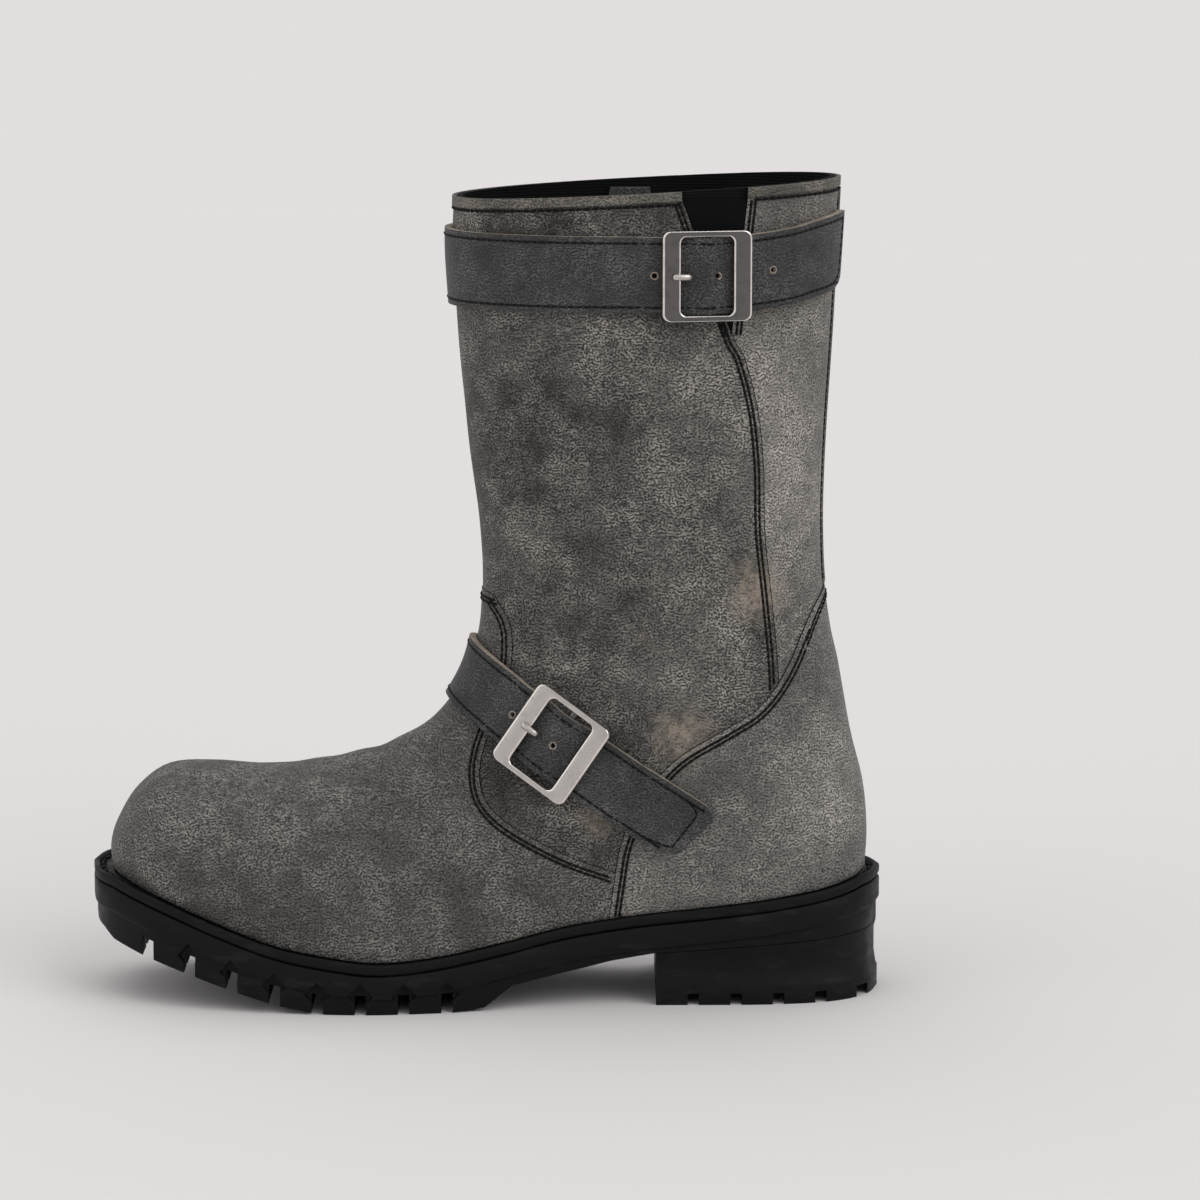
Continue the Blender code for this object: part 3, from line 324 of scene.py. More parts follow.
def round_edges(piece, width, angle=50, segments=2, material=-1):
    """Round off the edges of a piece that are sharper than an angle in degrees."""
    modifier = piece.modifiers.new("Rounding", "BEVEL")
    modifier.width = width
    modifier.segments = segments
    modifier.limit_method = "ANGLE"
    modifier.angle_limit = math.radians(angle)
    modifier.use_clamp_overlap = True
    modifier.material = material


def rounded(piece, width, angle=50, segments=2):
    """Apply a piece's modifiers, round off its edges and apply that too."""
    baked(piece)
    round_edges(piece, width, angle, segments)
    return baked(piece)


class Nodes:
    """A node tree that is being wired: add a node with its values, or link a socket into it."""

    def __init__(self, tree):
        self.tree = tree

    def add(self, kind, inputs=None, **settings):
        """A node of this kind, with its settings and its inputs as values or as sockets to link."""
        node = self.tree.nodes.new(kind)
        for name, value in settings.items():
            setattr(node, name, value)
        for name, value in (inputs or {}).items():
            socket = node.inputs[name]
            if isinstance(value, bpy.types.NodeSocket):
                self.tree.links.new(value, socket)
            else:
                socket.default_value = value
        return node

    def feed(self, node, socket, value):
        """Link a value's socket into a named input of a node."""
        self.tree.links.new(value, node.inputs[socket])

    def math(self, operation, first, second=0.0, clamp=False):
        """The result of a Math node."""
        node = self.add("ShaderNodeMath", {0: first, 1: second}, operation=operation, use_clamp=clamp)
        return node.outputs[0]

    def noise(self, vector, scale, detail=2.0, roughness=0.5, distortion=0.0):
        """The value of a Noise Texture."""
        inputs = {"Vector": vector, "Scale": scale, "Detail": detail, "Roughness": roughness,
                  "Distortion": distortion}
        return self.add("ShaderNodeTexNoise", inputs).outputs["Fac"]

    def band(self, value, low, high, to_low=0.0, to_high=1.0):
        """A value moved smoothly from one range to another."""
        inputs = {"Value": value, "From Min": low, "From Max": high, "To Min": to_low, "To Max": to_high}
        return self.add("ShaderNodeMapRange", inputs, interpolation_type="SMOOTHSTEP").outputs[0]

    def mix(self, share, first, second, blend="MIX"):
        """A mixed colour."""
        node = self.add("ShaderNodeMix", data_type="RGBA", blend_type=blend)
        for index, value in ((0, share), (6, first), (7, second)):
            if isinstance(value, bpy.types.NodeSocket):
                self.tree.links.new(value, node.inputs[index])
            else:
                node.inputs[index].default_value = value
        return node.outputs[2]


def effect(name, inputs, outputs):
    """A node group with named sockets: returns the group, its nodes, its input and its output."""
    group = bpy.data.node_groups.new(name, "ShaderNodeTree")
    for socket, kind in inputs:
        group.interface.new_socket(socket, in_out="INPUT", socket_type=kind)
    for socket, kind in outputs:
        group.interface.new_socket(socket, in_out="OUTPUT", socket_type=kind)
    nodes = Nodes(group)
    return group, nodes, nodes.add("NodeGroupInput"), nodes.add("NodeGroupOutput")


def finish_material(name, **plain):
    """A new material with plain values: returns it, its nodes, Principled node and Object coordinates."""
    material = bpy.data.materials.new(name)
    material.use_nodes = True
    principled = material.node_tree.nodes["Principled BSDF"]
    for socket, value in plain.items():
        principled.inputs[socket.replace("_", " ")].default_value = value
    nodes = Nodes(material.node_tree)
    return material, nodes, principled, nodes.add("ShaderNodeTexCoord").outputs["Object"]


def bumped(nodes, principled, height, distance, strength=1.0):
    """Feed a height to the surface's normal."""
    bump = nodes.add("ShaderNodeBump", {"Height": height, "Distance": distance, "Strength": strength})
    nodes.feed(principled, "Normal", bump.outputs["Normal"])


def cloth_material(name, colour, thread):
    """A matt black textile with a fine woven rib, thread metres apart."""
    material, nodes, principled, place = finish_material(name, Roughness=0.88, Specular_IOR_Level=0.08)
    ribs = nodes.add("ShaderNodeTexWave", {"Vector": place, "Scale": 0.31 / thread, "Distortion": 1.5,
                                           "Detail": 1.0}, bands_direction="Z").outputs["Fac"]
    fuzz = nodes.noise(place, 1800.0, 2.0)
    dust = nodes.band(nodes.noise(place, 60.0, 4.0), 0.45, 0.75)
    light = tuple(2.2 * part for part in colour[:3]) + (1.0,)
    shade = nodes.mix(nodes.math("MULTIPLY", dust, fuzz), colour, light)
    nodes.feed(principled, "Base Color", nodes.mix(nodes.math("MULTIPLY", ribs, 0.35), shade, light))
    bumped(nodes, principled, nodes.math("ADD", ribs, nodes.math("MULTIPLY", fuzz, 0.5)), 0.00015)
    return material


lining_cloth = cloth_material("black lining", (0.0045, 0.0045, 0.0050, 1.0), 0.0012)
upper = dressed("upper_lining", form_sheet(0.0), lining_cloth, ("upper",))
thicken(upper, LINING_WALL, -1.0)
baked(upper)

# Leather: the outer leather is a distressed charcoal grey. Its wax finish has cracked into a maze of
# fine pale curls over a darker ground, whose hollows between the curls are darkened with painted shade,
# in clouds from nearly black to pale grey, with tan spots where it has rubbed through, and painted pools
# of light on some pale areas. Spots and pale areas are x, y, z and reach in metres.
PALE_CURL = (0.385, 0.362, 0.330, 1.0)
MID_GREY = (0.084, 0.081, 0.076, 1.0)
DARK_GREY = (0.020, 0.019, 0.018, 1.0)
RUBBED_TAN = (0.370, 0.310, 0.245, 1.0)
# Painted shade for the hollows between the curls
PAINTED_HOLLOW_SHADE = (0.006, 0.006, 0.006, 1.0)
CURL_PITCH = 0.00118
RUB_SPOTS = ((0.015, -0.05, 0.196, 0.013), (0.107, -0.04, 0.167, 0.015), (0.078, -0.045, 0.110, 0.014),
             (0.045, -0.045, 0.078, 0.012), (0.062, -0.05, 0.150, 0.010), (0.030, 0.05, 0.150, 0.015),
             (0.100, 0.04, 0.100, 0.014), (-0.100, 0.02, 0.090, 0.012), (0.040, 0.05, 0.230, 0.012))
# Painted light: the pale areas lift the leather's tone where the light falls most, on the rear shaft, the
# counter and the toe
PAINTED_LIGHT_AREAS = ((0.112, -0.045, 0.225, 0.050), (0.080, -0.050, 0.130, 0.042), (0.128, -0.02, 0.090, 0.040),
              (0.010, -0.05, 0.180, 0.030), (-0.120, -0.02, 0.055, 0.030))


def curl_effect():
    """The cracked finish: a maze of pale lines with painted shade in the hollows between them, clouds of tone
    and the height of the grain.
    """
    group, nodes, given, result = effect(
        "cracked curls",
        (("Vector", "NodeSocketVector"), ("Contrast", "NodeSocketFloat"), ("Cloud", "NodeSocketFloat")),
        (("Curl", "NodeSocketFloat"), ("Hollow shade", "NodeSocketFloat"), ("Tone", "NodeSocketFloat"),
         ("Height", "NodeSocketFloat")))
    place = given.outputs["Vector"]
    maze = nodes.add("ShaderNodeTexGabor", {"Vector": place, "Scale": 0.62 / CURL_PITCH, "Frequency": 1.6,
                                            "Anisotropy": 0.0}, gabor_type="3D").outputs["Value"]
    line = nodes.band(maze, 0.40, 0.66)
    broken = nodes.band(nodes.noise(place, 520.0, 1.0), 0.30, 0.56, 0.45, 1.0)
    strong = nodes.band(nodes.noise(place, 62.0, 4.0, 0.62), 0.34, 0.66, 0.35, 1.0)
    curl = nodes.math("MULTIPLY", nodes.math("MULTIPLY", line, broken), strong)
    clouds = nodes.noise(place, 13.0, 5.0, 0.60, 0.3)
    patches = nodes.noise(place, 105.0, 4.0, 0.65)
    tone = nodes.math("ADD", nodes.math("MULTIPLY", clouds, 0.66), nodes.math("MULTIPLY", patches, 0.34))
    tone = nodes.band(tone, 0.36, 0.64)
    half = nodes.math("MULTIPLY", nodes.math("SUBTRACT", tone, 0.5), given.outputs["Cloud"])
    tone = nodes.math("ADD", half, 0.5, clamp=True)
    curl = nodes.math("MULTIPLY", curl, given.outputs["Contrast"], clamp=True)
    # Painted shade: the low side of the maze, the hollows between the curls, darkened in colour because the
    # maze is not in the bump
    groove = nodes.math("MULTIPLY", nodes.band(maze, 0.50, 0.26), given.outputs["Contrast"], clamp=True)
    pores = nodes.noise(place, 1500.0, 2.0, 0.6)
    pebbles = nodes.noise(place, 0.9 / CURL_PITCH, 1.0, 0.5, 0.6)
    height = nodes.math("ADD", nodes.math("MULTIPLY", pebbles, 0.9), nodes.math("MULTIPLY", pores, 0.2))
    for socket, value in (("Curl", curl), ("Hollow shade", groove), ("Tone", tone), ("Height", height)):
        nodes.feed(result, socket, value)
    return group


cracked_curls = curl_effect()


def near_spots(nodes, place, spots, soft_scale, soft_size, outer, inner):
    """How far a point lies inside any of the round spots, whose edges are roughened by a noise."""
    rough_edge = nodes.math("MULTIPLY", nodes.noise(place, soft_scale, 4.0, 0.65), soft_size)
    share = 0.0
    for x, y, z, reach in spots:
        apart = nodes.add("ShaderNodeVectorMath", {0: place, 1: Vector((x, y, z)) + LAST_AT},
                          operation="DISTANCE").outputs["Value"]
        spot = nodes.band(nodes.math("ADD", apart, rough_edge), outer * reach, inner * reach)
        share = nodes.math("MAXIMUM", spot, share)
    return share


def leather_material(name, dark, mid, pale, contrast, cloud, roughness, grain, rubbed_and_lit=False, coat=0.0):
    """Leather with the cracked finish between three tones and painted shade between its curls; if asked, tan
    rub spots and painted pools of light too.
    """
    material, nodes, principled, place = finish_material(name, Coat_Weight=coat, Coat_Roughness=0.35,
                                                         Specular_IOR_Level=0.16)
    worn = nodes.add("ShaderNodeGroup", node_tree=cracked_curls)
    nodes.feed(worn, "Vector", place)
    worn.inputs["Contrast"].default_value = contrast
    worn.inputs["Cloud"].default_value = cloud
    tone = worn.outputs["Tone"]
    if rubbed_and_lit:
        # Painted light: pools of lighter tone round the pale areas, and a little darker everywhere else
        lifted = nodes.math("MULTIPLY", near_spots(nodes, place, PAINTED_LIGHT_AREAS, 45.0, 0.03, 1.5, 0.3), 0.75)
        tone = nodes.math("ADD", tone, nodes.math("SUBTRACT", lifted, 0.08), clamp=True)
    ground = nodes.mix(tone, dark, mid)
    # Painted shade darkens the hollows between the curls
    ground = nodes.mix(nodes.math("MULTIPLY", worn.outputs["Hollow shade"], 0.55), ground, PAINTED_HOLLOW_SHADE)
    curl = nodes.math("MULTIPLY", worn.outputs["Curl"], nodes.band(tone, 0.0, 1.0, 0.30, 1.0))
    colour = nodes.mix(curl, ground, pale)
    if rubbed_and_lit:
        spots = near_spots(nodes, place, RUB_SPOTS, 160.0, 0.022, 1.9, 0.8)
        patchy = nodes.band(nodes.noise(place, 420.0, 2.0), 0.30, 0.66, 0.20, 0.60)
        colour = nodes.mix(nodes.math("MULTIPLY", spots, patchy), colour, RUBBED_TAN)
    nodes.feed(principled, "Base Color", colour)
    gloss = nodes.band(tone, 0.0, 1.0, roughness - 0.06, roughness + 0.12)
    dull_curl = nodes.math("MULTIPLY", worn.outputs["Curl"], 0.08)
    nodes.feed(principled, "Roughness", nodes.math("ADD", gloss, dull_curl))
    bumped(nodes, principled, worn.outputs["Height"], grain)
    return material


shaft_leather = leather_material("shaft leather", DARK_GREY, MID_GREY, PALE_CURL, 1.0, 0.85, 0.60,
                                 0.00030, True)
# Lighter copies of the same leather: the rear panel's is partly lighter leather and partly painted light, and
# the counter's is painted light, where the key light falls on the back of the boot
rear_leather_with_painted_light = leather_material("rear shaft leather", (0.066, 0.063, 0.059, 1.0), (0.170, 0.162, 0.151, 1.0),
                                (0.520, 0.490, 0.450, 1.0), 1.0, 0.6, 0.62, 0.00030, True)
foot_leather = leather_material("foot leather", (0.038, 0.037, 0.035, 1.0), (0.088, 0.084, 0.079, 1.0),
                                (0.370, 0.350, 0.322, 1.0), 1.0, 0.45, 0.55, 0.00028, True)
heel_leather_with_painted_light = leather_material("heel leather with painted light", (0.056, 0.055, 0.052, 1.0), (0.145, 0.139, 0.130, 1.0),
                                (0.440, 0.417, 0.385, 1.0), 1.0, 0.5, 0.55, 0.00028, True)
edge_leather = leather_material("cut leather edge", (0.060, 0.056, 0.051, 1.0), (0.140, 0.131, 0.118, 1.0),
                                (0.300, 0.280, 0.250, 1.0), 0.8, 0.6, 0.75, 0.00015)


def side_prism(name, points, y_low=-0.12, y_high=0.12):
    """A cutter: an (x, z) outline drawn through from y_low to y_high, whose faces leave a cut edge."""
    bm = bmesh.new()
    face = bm.faces.new([bm.verts.new((x, y_low, z)) for x, z in points])
    drawn = bmesh.ops.extrude_face_region(bm, geom=[face])
    moved = [item for item in drawn["geom"] if isinstance(item, bmesh.types.BMVert)]
    bmesh.ops.translate(bm, vec=(0, y_high - y_low, 0), verts=moved)
    bmesh.ops.recalc_face_normals(bm, faces=bm.faces)
    cutter = as_object(name, bm, edge_leather)
    cutter.hide_render = True
    return cutter


def carve(piece, cutter, operation):
    """Add a Boolean whose new faces keep the cutter's material."""
    modifier = piece.modifiers.new(operation.title(), "BOOLEAN")
    modifier.operation = operation
    modifier.solver = "EXACT"
    modifier.material_mode = "TRANSFER"
    modifier.object = cutter


def grown(points, distance):
    """A closed (x, z) outline moved outwards by a distance."""
    area = sum(x0 * z1 - x1 * z0 for (x0, z0), (x1, z1) in zip(points, points[1:] + points[:1]))
    turn = 1.0 if area > 0 else -1.0
    moved = []
    for k, (x, z) in enumerate(points):
        run = (Vector(points[(k + 1) % len(points)]) - Vector(points[k - 1])).normalized()
        moved.append((x + turn * run.y * distance, z - turn * run.x * distance))
    return moved


def lower_edge(x_low, x_high, steps=90):
    """The feather line between two x, for the lower edge of a panel."""
    xs = [x_low + (x_high - x_low) * k / steps for k in range(steps + 1)]
    return [(x, height_on(FEATHER_LINE, x)) for x in xs]


# Counter, vamp and shaft panels: the counter cups the heel over the vamp and the shaft, the vamp covers
# toe and instep with a tongue up the front, and the shaft's front and rear panels meet at a seam on each
# side. Each is cut from the same leather 1 to 2 mm thick, and lies on the lined body.
FRONT_LEATHER = 0.0013
REAR_LEATHER = 0.0010
VAMP_LEATHER = 0.0018
COUNTER_LEATHER = 0.0018
EDGE_ROUND = 0.00065

# Side view lines of the panels, as (x per cent of SOLE_LENGTH, z per cent of BOOT_HEIGHT) points
VAMP_LINE = ((-6.0, 50.0), (0.3, 49.6), (1.8, 48.4), (3.0, 46.5), (3.4, 44.0), (3.0, 40.0), (1.2, 35.0),
             (-0.4, 30.5), (-0.6, 27.5), (0.2, 25.2), (2.2, 23.2), (5.4, 21.2), (10.6, 18.6), (16.6, 16.4))
COUNTER_LINE = ((15.2, 8.0), (15.7, 12.0), (16.2, 15.5), (17.0, 20.0), (19.0, 24.8), (21.8, 28.6),
                (25.0, 31.5), (30.4, 34.6), (33.6, 36.5), (36.0, 39.0), (38.0, 42.2), (39.6, 45.6),
                (41.3, 48.6), (44.0, 51.0), (50.0, 53.0))
SEAM_LINE = ((36.5, 36.0), (36.3, 42.0), (35.5, 50.0), (34.6, 58.0), (34.4, 66.0), (33.6, 73.0), (32.0, 79.0),
             (30.9, 81.0), (30.4, 82.3), (29.0, 87.0))
GORE_APEX = (30.4, 82.0)
GORE_LEFT = 24.4
GORE_RIGHT = 32.2
GORE_TOP = 98.0

FAR_FRONT = -0.56 * SOLE_LENGTH
FAR_BACK = 0.56 * SOLE_LENGTH
ABOVE = 1.1 * BOOT_HEIGHT
QUARTER_FOOT = 0.155 * BOOT_HEIGHT
counter_edge = smooth_line(side_points(COUNTER_LINE))
counter_foot = [point for point in counter_edge if point[1] > height_on(FEATHER_LINE, point[0])]
counter_outline = counter_foot + [(FAR_BACK, counter_foot[-1][1])]
counter_outline += list(reversed(lower_edge(counter_foot[0][0], FAR_BACK)))
vamp_edge = smooth_line(side_points(VAMP_LINE))
vamp_outline = [(FAR_FRONT, vamp_edge[0][1])] + vamp_edge + [(0.20 * SOLE_LENGTH, vamp_edge[-1][1])]
vamp_outline += list(reversed(lower_edge(FAR_FRONT, 0.20 * SOLE_LENGTH)))
seam_edge = smooth_line(side_points(SEAM_LINE))
front_outline = seam_edge + [(seam_edge[-1][0], ABOVE), (FAR_FRONT, ABOVE)]
front_outline += [(FAR_FRONT, QUARTER_FOOT), (seam_edge[0][0], QUARTER_FOOT)]
rear_edge = [(x + GAP, z) for x, z in seam_edge]
rear_outline = rear_edge + [(rear_edge[-1][0], ABOVE), (FAR_BACK, ABOVE)]
rear_outline += [(FAR_BACK, 2 * QUARTER_FOOT), (rear_edge[0][0], 2 * QUARTER_FOOT)]
gore_notch = side_points((
    (GORE_LEFT - 0.7 * (110 - GORE_TOP) / 16, 110), (GORE_LEFT, GORE_TOP), GORE_APEX, (GORE_RIGHT, GORE_TOP),
    (GORE_RIGHT + 0.2, 110)))

counter_cut = side_prism("counter_cut", counter_outline)
counter_room = side_prism("counter_room", grown(counter_outline, GAP))
vamp_room = side_prism("vamp_room", grown(vamp_outline, GAP))
gore_room = side_prism("gore_room", grown(gore_notch, GAP))
cutters = [counter_cut, counter_room, vamp_room, gore_room]


def panel(name, thickness, outline_cutter, rooms, places, material):
    """A leather panel on the form between two places, cut by its outline and by its neighbours' rooms."""
    piece = dressed(name, form_sheet(GAP, *places), material, (name,))
    piece.data.materials.append(edge_leather)
    thicken(piece, thickness, rim=1)
    carve(piece, outline_cutter, "INTERSECT")
    for room in rooms:
        carve(piece, room, "DIFFERENCE")
    return rounded(piece, EDGE_ROUND)


vamp_cut = side_prism("vamp_cut", vamp_outline)
front_cut = side_prism("front_cut", front_outline)
rear_cut = side_prism("rear_cut", rear_outline)
counter = panel("counter", COUNTER_LEATHER, counter_cut, (), (7.0, 24.0), heel_leather_with_painted_light)
vamp = panel("vamp", VAMP_LEATHER, vamp_cut, (counter_room,), (0.0, 17.5), foot_leather)
front_quarter = panel("front_quarter", FRONT_LEATHER, front_cut, (vamp_room, counter_room, gore_room),
                      (7.0, 25.0), shaft_leather)
rear_quarter = panel("rear_quarter", REAR_LEATHER, rear_cut, (counter_room, gore_room), (14.0, 25.0),
                     rear_leather_with_painted_light)
cutters += [vamp_cut, front_cut, rear_cut]

# Stitching: each overlap is sewn down with waxed black thread 0.9 mm thick, mostly in double rows, pulled
# so tight that every row lies in a groove of its own, whose shade is painted as a thin dark strip under the
# thread.
STITCH_PITCH = 0.0031
STITCH_LENGTH = 0.0025
THREAD_RADIUS = 0.00047
SHADE_STRIP_HALF = 0.00055
SHADE_STRIP_LIFT = 0.00007
LONGEST_STEP = 0.02
thread_black, thread_nodes, thread_shader, thread_place = finish_material("black thread", Roughness=0.6,
                                                                           Specular_IOR_Level=0.10)
THREAD_BLACK = (0.0018, 0.0018, 0.0018, 1.0)
THREAD_WORN = (0.0075, 0.0072, 0.0070, 1.0)
twist = thread_nodes.noise(thread_place, 2600.0, 1.0)
thread_nodes.feed(thread_shader, "Base Color", thread_nodes.mix(twist, THREAD_BLACK, THREAD_WORN))
bumped(thread_nodes, thread_shader, twist, 0.0001)
# Painted shade: the dark leather of the strips under the stitches stands in for the shade in their grooves
painted_groove_shade = leather_material("dark groove", (0.008, 0.008, 0.008, 1.0), (0.022, 0.021, 0.020, 1.0),
                               (0.070, 0.066, 0.060, 1.0), 0.8, 0.8, 0.70, 0.00015)


def faces_of(piece):
    """A search tree of a finished piece's surface."""
    bm = bmesh.new()
    bm.from_mesh(piece.data)
    tree = BVHTree.FromBMesh(bm)
    bm.free()
    return tree


SIDE_START = 0.2
END_START = 0.25


def cast_side(tree, line, side, least=0.12):
    """Where rays from one side, -1 outer or 1 inner, meet a piece along an (x, z) line of the last's
    frame, left out where the face turns away from that side."""
    path = []
    for x, z in line:
        start = Vector((x, side * SIDE_START, z)) + LAST_AT
        spot, normal, _, _ = tree.ray_cast(start, Vector((0, -side, 0)))
        if spot and normal.y * side > least:
            path.append((spot, normal))
    return path


def cast_end(tree, x, y, z):
    """Where a ray along the boot from x, in front or behind, meets a piece at this y and z."""
    run = Vector((-math.copysign(1.0, x), 0, 0))
    spot, normal, _, _ = tree.ray_cast(Vector((x, y, z)) + LAST_AT, run)
    return spot, normal


def beside(line, distance):
    """An (x, z) line moved to its left by a distance."""
    moved = []
    for k, (x, z) in enumerate(line):
        run = (Vector(line[min(k + 1, len(line) - 1)]) - Vector(line[max(k - 1, 0)])).normalized()
        moved.append((x - run.y * distance, z + run.x * distance))
    return moved


# groove is the half width of the dark strip of painted groove shade
def stitch(bm, path, pitch=STITCH_PITCH, length=STITCH_LENGTH, radius=THREAD_RADIUS, groove=SHADE_STRIP_HALF):
    """Sew along a path of points and normals: beads of thread over a narrow dark strip, the painted shade of
    their groove.
    """
    if len(path) < 3:
        return

    def shade_strip_spot(k, edge):
        """Point on one edge of the dark strip, the painted shade of the groove's floor."""
        run = path[min(k + 1, len(path) - 1)][0] - path[max(k - 1, 0)][0]
        spot, normal = path[k]
        across = normal.cross(run).normalized() * groove * (1 if edge else -1)
        return spot + across + normal * SHADE_STRIP_LIFT

    # The strip of painted groove shade takes slot 1
    strip = laid_grid(bm, len(path), 2, shade_strip_spot)
    for face in {face for vert in strip for face in vert.link_faces}:
        face.material_index = 1
    walked, next_at = 0.0, pitch / 2
    for (spot, normal), (after, _) in zip(path, path[1:]):
        step = (after - spot).length
        if step > LONGEST_STEP:
            walked += step
            next_at = walked + pitch / 2
            continue
        while next_at < walked + step:
            along = (after - spot).normalized()
            out = (normal - along * normal.dot(along)).normalized()
            turn = Matrix((along, out.cross(along), out)).transposed().to_4x4()
            at = Matrix.Translation(spot.lerp(after, (next_at - walked) / step) + out * radius * 0.35)
            size = Matrix.Diagonal((length / 2, radius, radius, 1.0))
            bmesh.ops.create_uvsphere(bm, u_segments=8, v_segments=5, radius=1.0, matrix=at @ turn @ size)
            next_at += pitch
        walked += step


def sewn(name, bm):
    """Put a bmesh of stitches, already in place, into the scene."""
    bmesh.ops.recalc_face_normals(bm, faces=bm.faces)
    piece = as_object(name, bm, thread_black, painted_groove_shade, moved=Vector())
    piece.data.shade_smooth()
    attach(piece, "root")
    return piece


# The counter's rows are cast from the side up to BACK_TURN, and from behind within BACK_HALF of the
# back line, where their drop below the edge grows as the edge turns away
BACK_TURN = 0.66
BACK_HALF = 0.029
BACK_STEPS = 26
BACK_START = 0.015
DROP_GROWTH = 0.97
lining_faces = faces_of(upper)


def cast_back(tree, line, drop):
    """A row round the back of a piece, a drop below its rising (x, z) edge line, cast from behind."""
    path = []
    for k in range(-BACK_STEPS, BACK_STEPS + 1):
        y = BACK_HALF * k / BACK_STEPS
        fall = drop * (1 + DROP_GROWTH * (k / BACK_STEPS) ** 2)
        z = line[-1][1] - BACK_START
        for _ in range(4):
            z = height_on(line, cast_end(lining_faces, END_START, y, z)[0].x + COUNTER_LEATHER) - fall
        spot, normal = cast_end(tree, END_START, y, z)
        if spot:
            path.append((spot, normal))
    return path


ROW_IN = 0.0022
ROW_STEP = 0.0016
TONGUE_STEP = 0.0011
SEAM_ROW_IN = ROW_IN * 0.8
BACK_ROWS = (-0.0046, -0.0028, 0.0028, 0.0046)
BACK_ROWS_LOW = 0.166
BACK_ROWS_HIGH = 0.318
vamp_faces = faces_of(vamp)
counter_faces = faces_of(counter)
front_faces = faces_of(front_quarter)
rear_faces = faces_of(rear_quarter)

stitches = bmesh.new()
tongue_top = vamp_edge[8][1]
for side in (-1, 1):
    for row in range(2):
        stitch(stitches, cast_side(vamp_faces, beside(vamp_edge[8:], -ROW_IN - row * ROW_STEP), side))
for row in range(2):
    across_front = []
    for k in range(-20, 21):
        height = tongue_top - ROW_IN - row * ROW_STEP
        spot, normal = cast_end(vamp_faces, -END_START, k * TONGUE_STEP, height)
        if spot:
            across_front.append((spot, normal))
    stitch(stitches, across_front)
sewn("vamp_stitching", stitches)

stitches = bmesh.new()
for side in (-1, 1):
    for row in range(2):
        line = beside(counter_edge, -ROW_IN - row * ROW_STEP)
        stitch(stitches, cast_side(counter_faces, line, side, BACK_TURN))
for row in range(2):
    stitch(stitches, cast_back(counter_faces, counter_edge, ROW_IN + row * ROW_STEP))
sewn("counter_stitching", stitches)

stitches = bmesh.new()
for side in (-1, 1):
    for row in range(2):
        stitch(stitches, cast_side(front_faces, beside(seam_edge, SEAM_ROW_IN + row * ROW_STEP), side))
back_seam = [k / 60 for k in range(61)]
for offset in BACK_ROWS:
    row = []
    for share in back_seam:
        height = BACK_ROWS_LOW + (BACK_ROWS_HIGH - BACK_ROWS_LOW) * share
        spot, normal = cast_end(rear_faces, END_START, offset, height)
        if spot:
            row.append((spot, normal))
    stitch(stitches, row)
sewn("shaft_stitching", stitches)

# Back seam: the two halves of the shaft's rear panel are closed at the back over a narrow piping ridge,
# half round and a little wider than high, between the two pairs of stitched rows.
RIDGE_RADIUS = 0.0011
RIDGE_WIDEN = 1.3
RIDGE_LIFT = 0.0001
RIDGE_LOW = 0.163
RIDGE_HIGH = 0.3225
RIDGE_STEPS = 8
ridge = bmesh.new()
ridge_path = []
for share in back_seam:
    spot, normal = cast_end(rear_faces, END_START, 0.0, RIDGE_LOW + (RIDGE_HIGH - RIDGE_LOW) * share)
    if spot:
        ridge_path.append((spot - LAST_AT, normal))


def ridge_spot(k, turn):
    """Point of the ridge's half round section at one point of its path."""
    spot, normal = ridge_path[k]
    angle = math.pi * turn / RIDGE_STEPS
    sideways = Vector((0, -math.cos(angle) * RIDGE_RADIUS * RIDGE_WIDEN, 0))
    return spot + sideways + normal * (math.sin(angle) * RIDGE_RADIUS + RIDGE_LIFT)


laid_grid(ridge, len(ridge_path), RIDGE_STEPS + 1, ridge_spot)
ridge.normal_update()
if sum(face.normal.x for face in ridge.faces) < 0:
    bmesh.ops.reverse_faces(ridge, faces=ridge.faces)
ridge_piece = dressed("back_seam_ridge", ridge, edge_leather)
ridge_piece.data.shade_smooth()

# Gores: a wedge of black elastic on each side of the collar, ribbed across, between the folded and
# twice stitched edges of the shaft's panels.
GORE_CLOTH = 0.0006
GORE_ROW_IN = 0.0018
BOTH_SIDES = (("lateral", -0.12, -0.01), ("medial", 0.01, 0.12))
gore_elastic = cloth_material("black elastic", (0.0040, 0.0040, 0.0045, 1.0), 0.0009)
gore_outline = side_points(((GORE_LEFT, GORE_TOP), GORE_APEX, (GORE_RIGHT, GORE_TOP)))
for side_name, y_low, y_high in BOTH_SIDES:
    gore = dressed("gore_" + side_name, form_sheet(GAP, 19.0, 25.0), gore_elastic,
                   ("gore_" + side_name,))
    thicken(gore, GORE_CLOTH)
    cutter = side_prism("gore_cut_" + side_name, gore_outline, y_low, y_high)
    carve(gore, cutter, "INTERSECT")
    cutters.append(cutter)
    baked(gore)
    for polygon in gore.data.polygons:
        polygon.material_index = 0



def gore_edge(top_x, steps=30):
    """One slanted edge of the gore, from its top corner down to its apex."""
    return side_points([(top_x + (GORE_APEX[0] - top_x) * k / steps,
                         GORE_TOP + (GORE_APEX[1] - GORE_TOP) * k / steps) for k in range(steps + 1)])


stitches = bmesh.new()
for side in (-1, 1):
    for row in range(2):
        inset = GORE_ROW_IN + row * ROW_STEP
        stitch(stitches, cast_side(front_faces, beside(gore_edge(GORE_LEFT), -inset), side))
        stitch(stitches, cast_side(rear_faces, beside(gore_edge(GORE_RIGHT), inset), side))
sewn("gore_stitching", stitches)

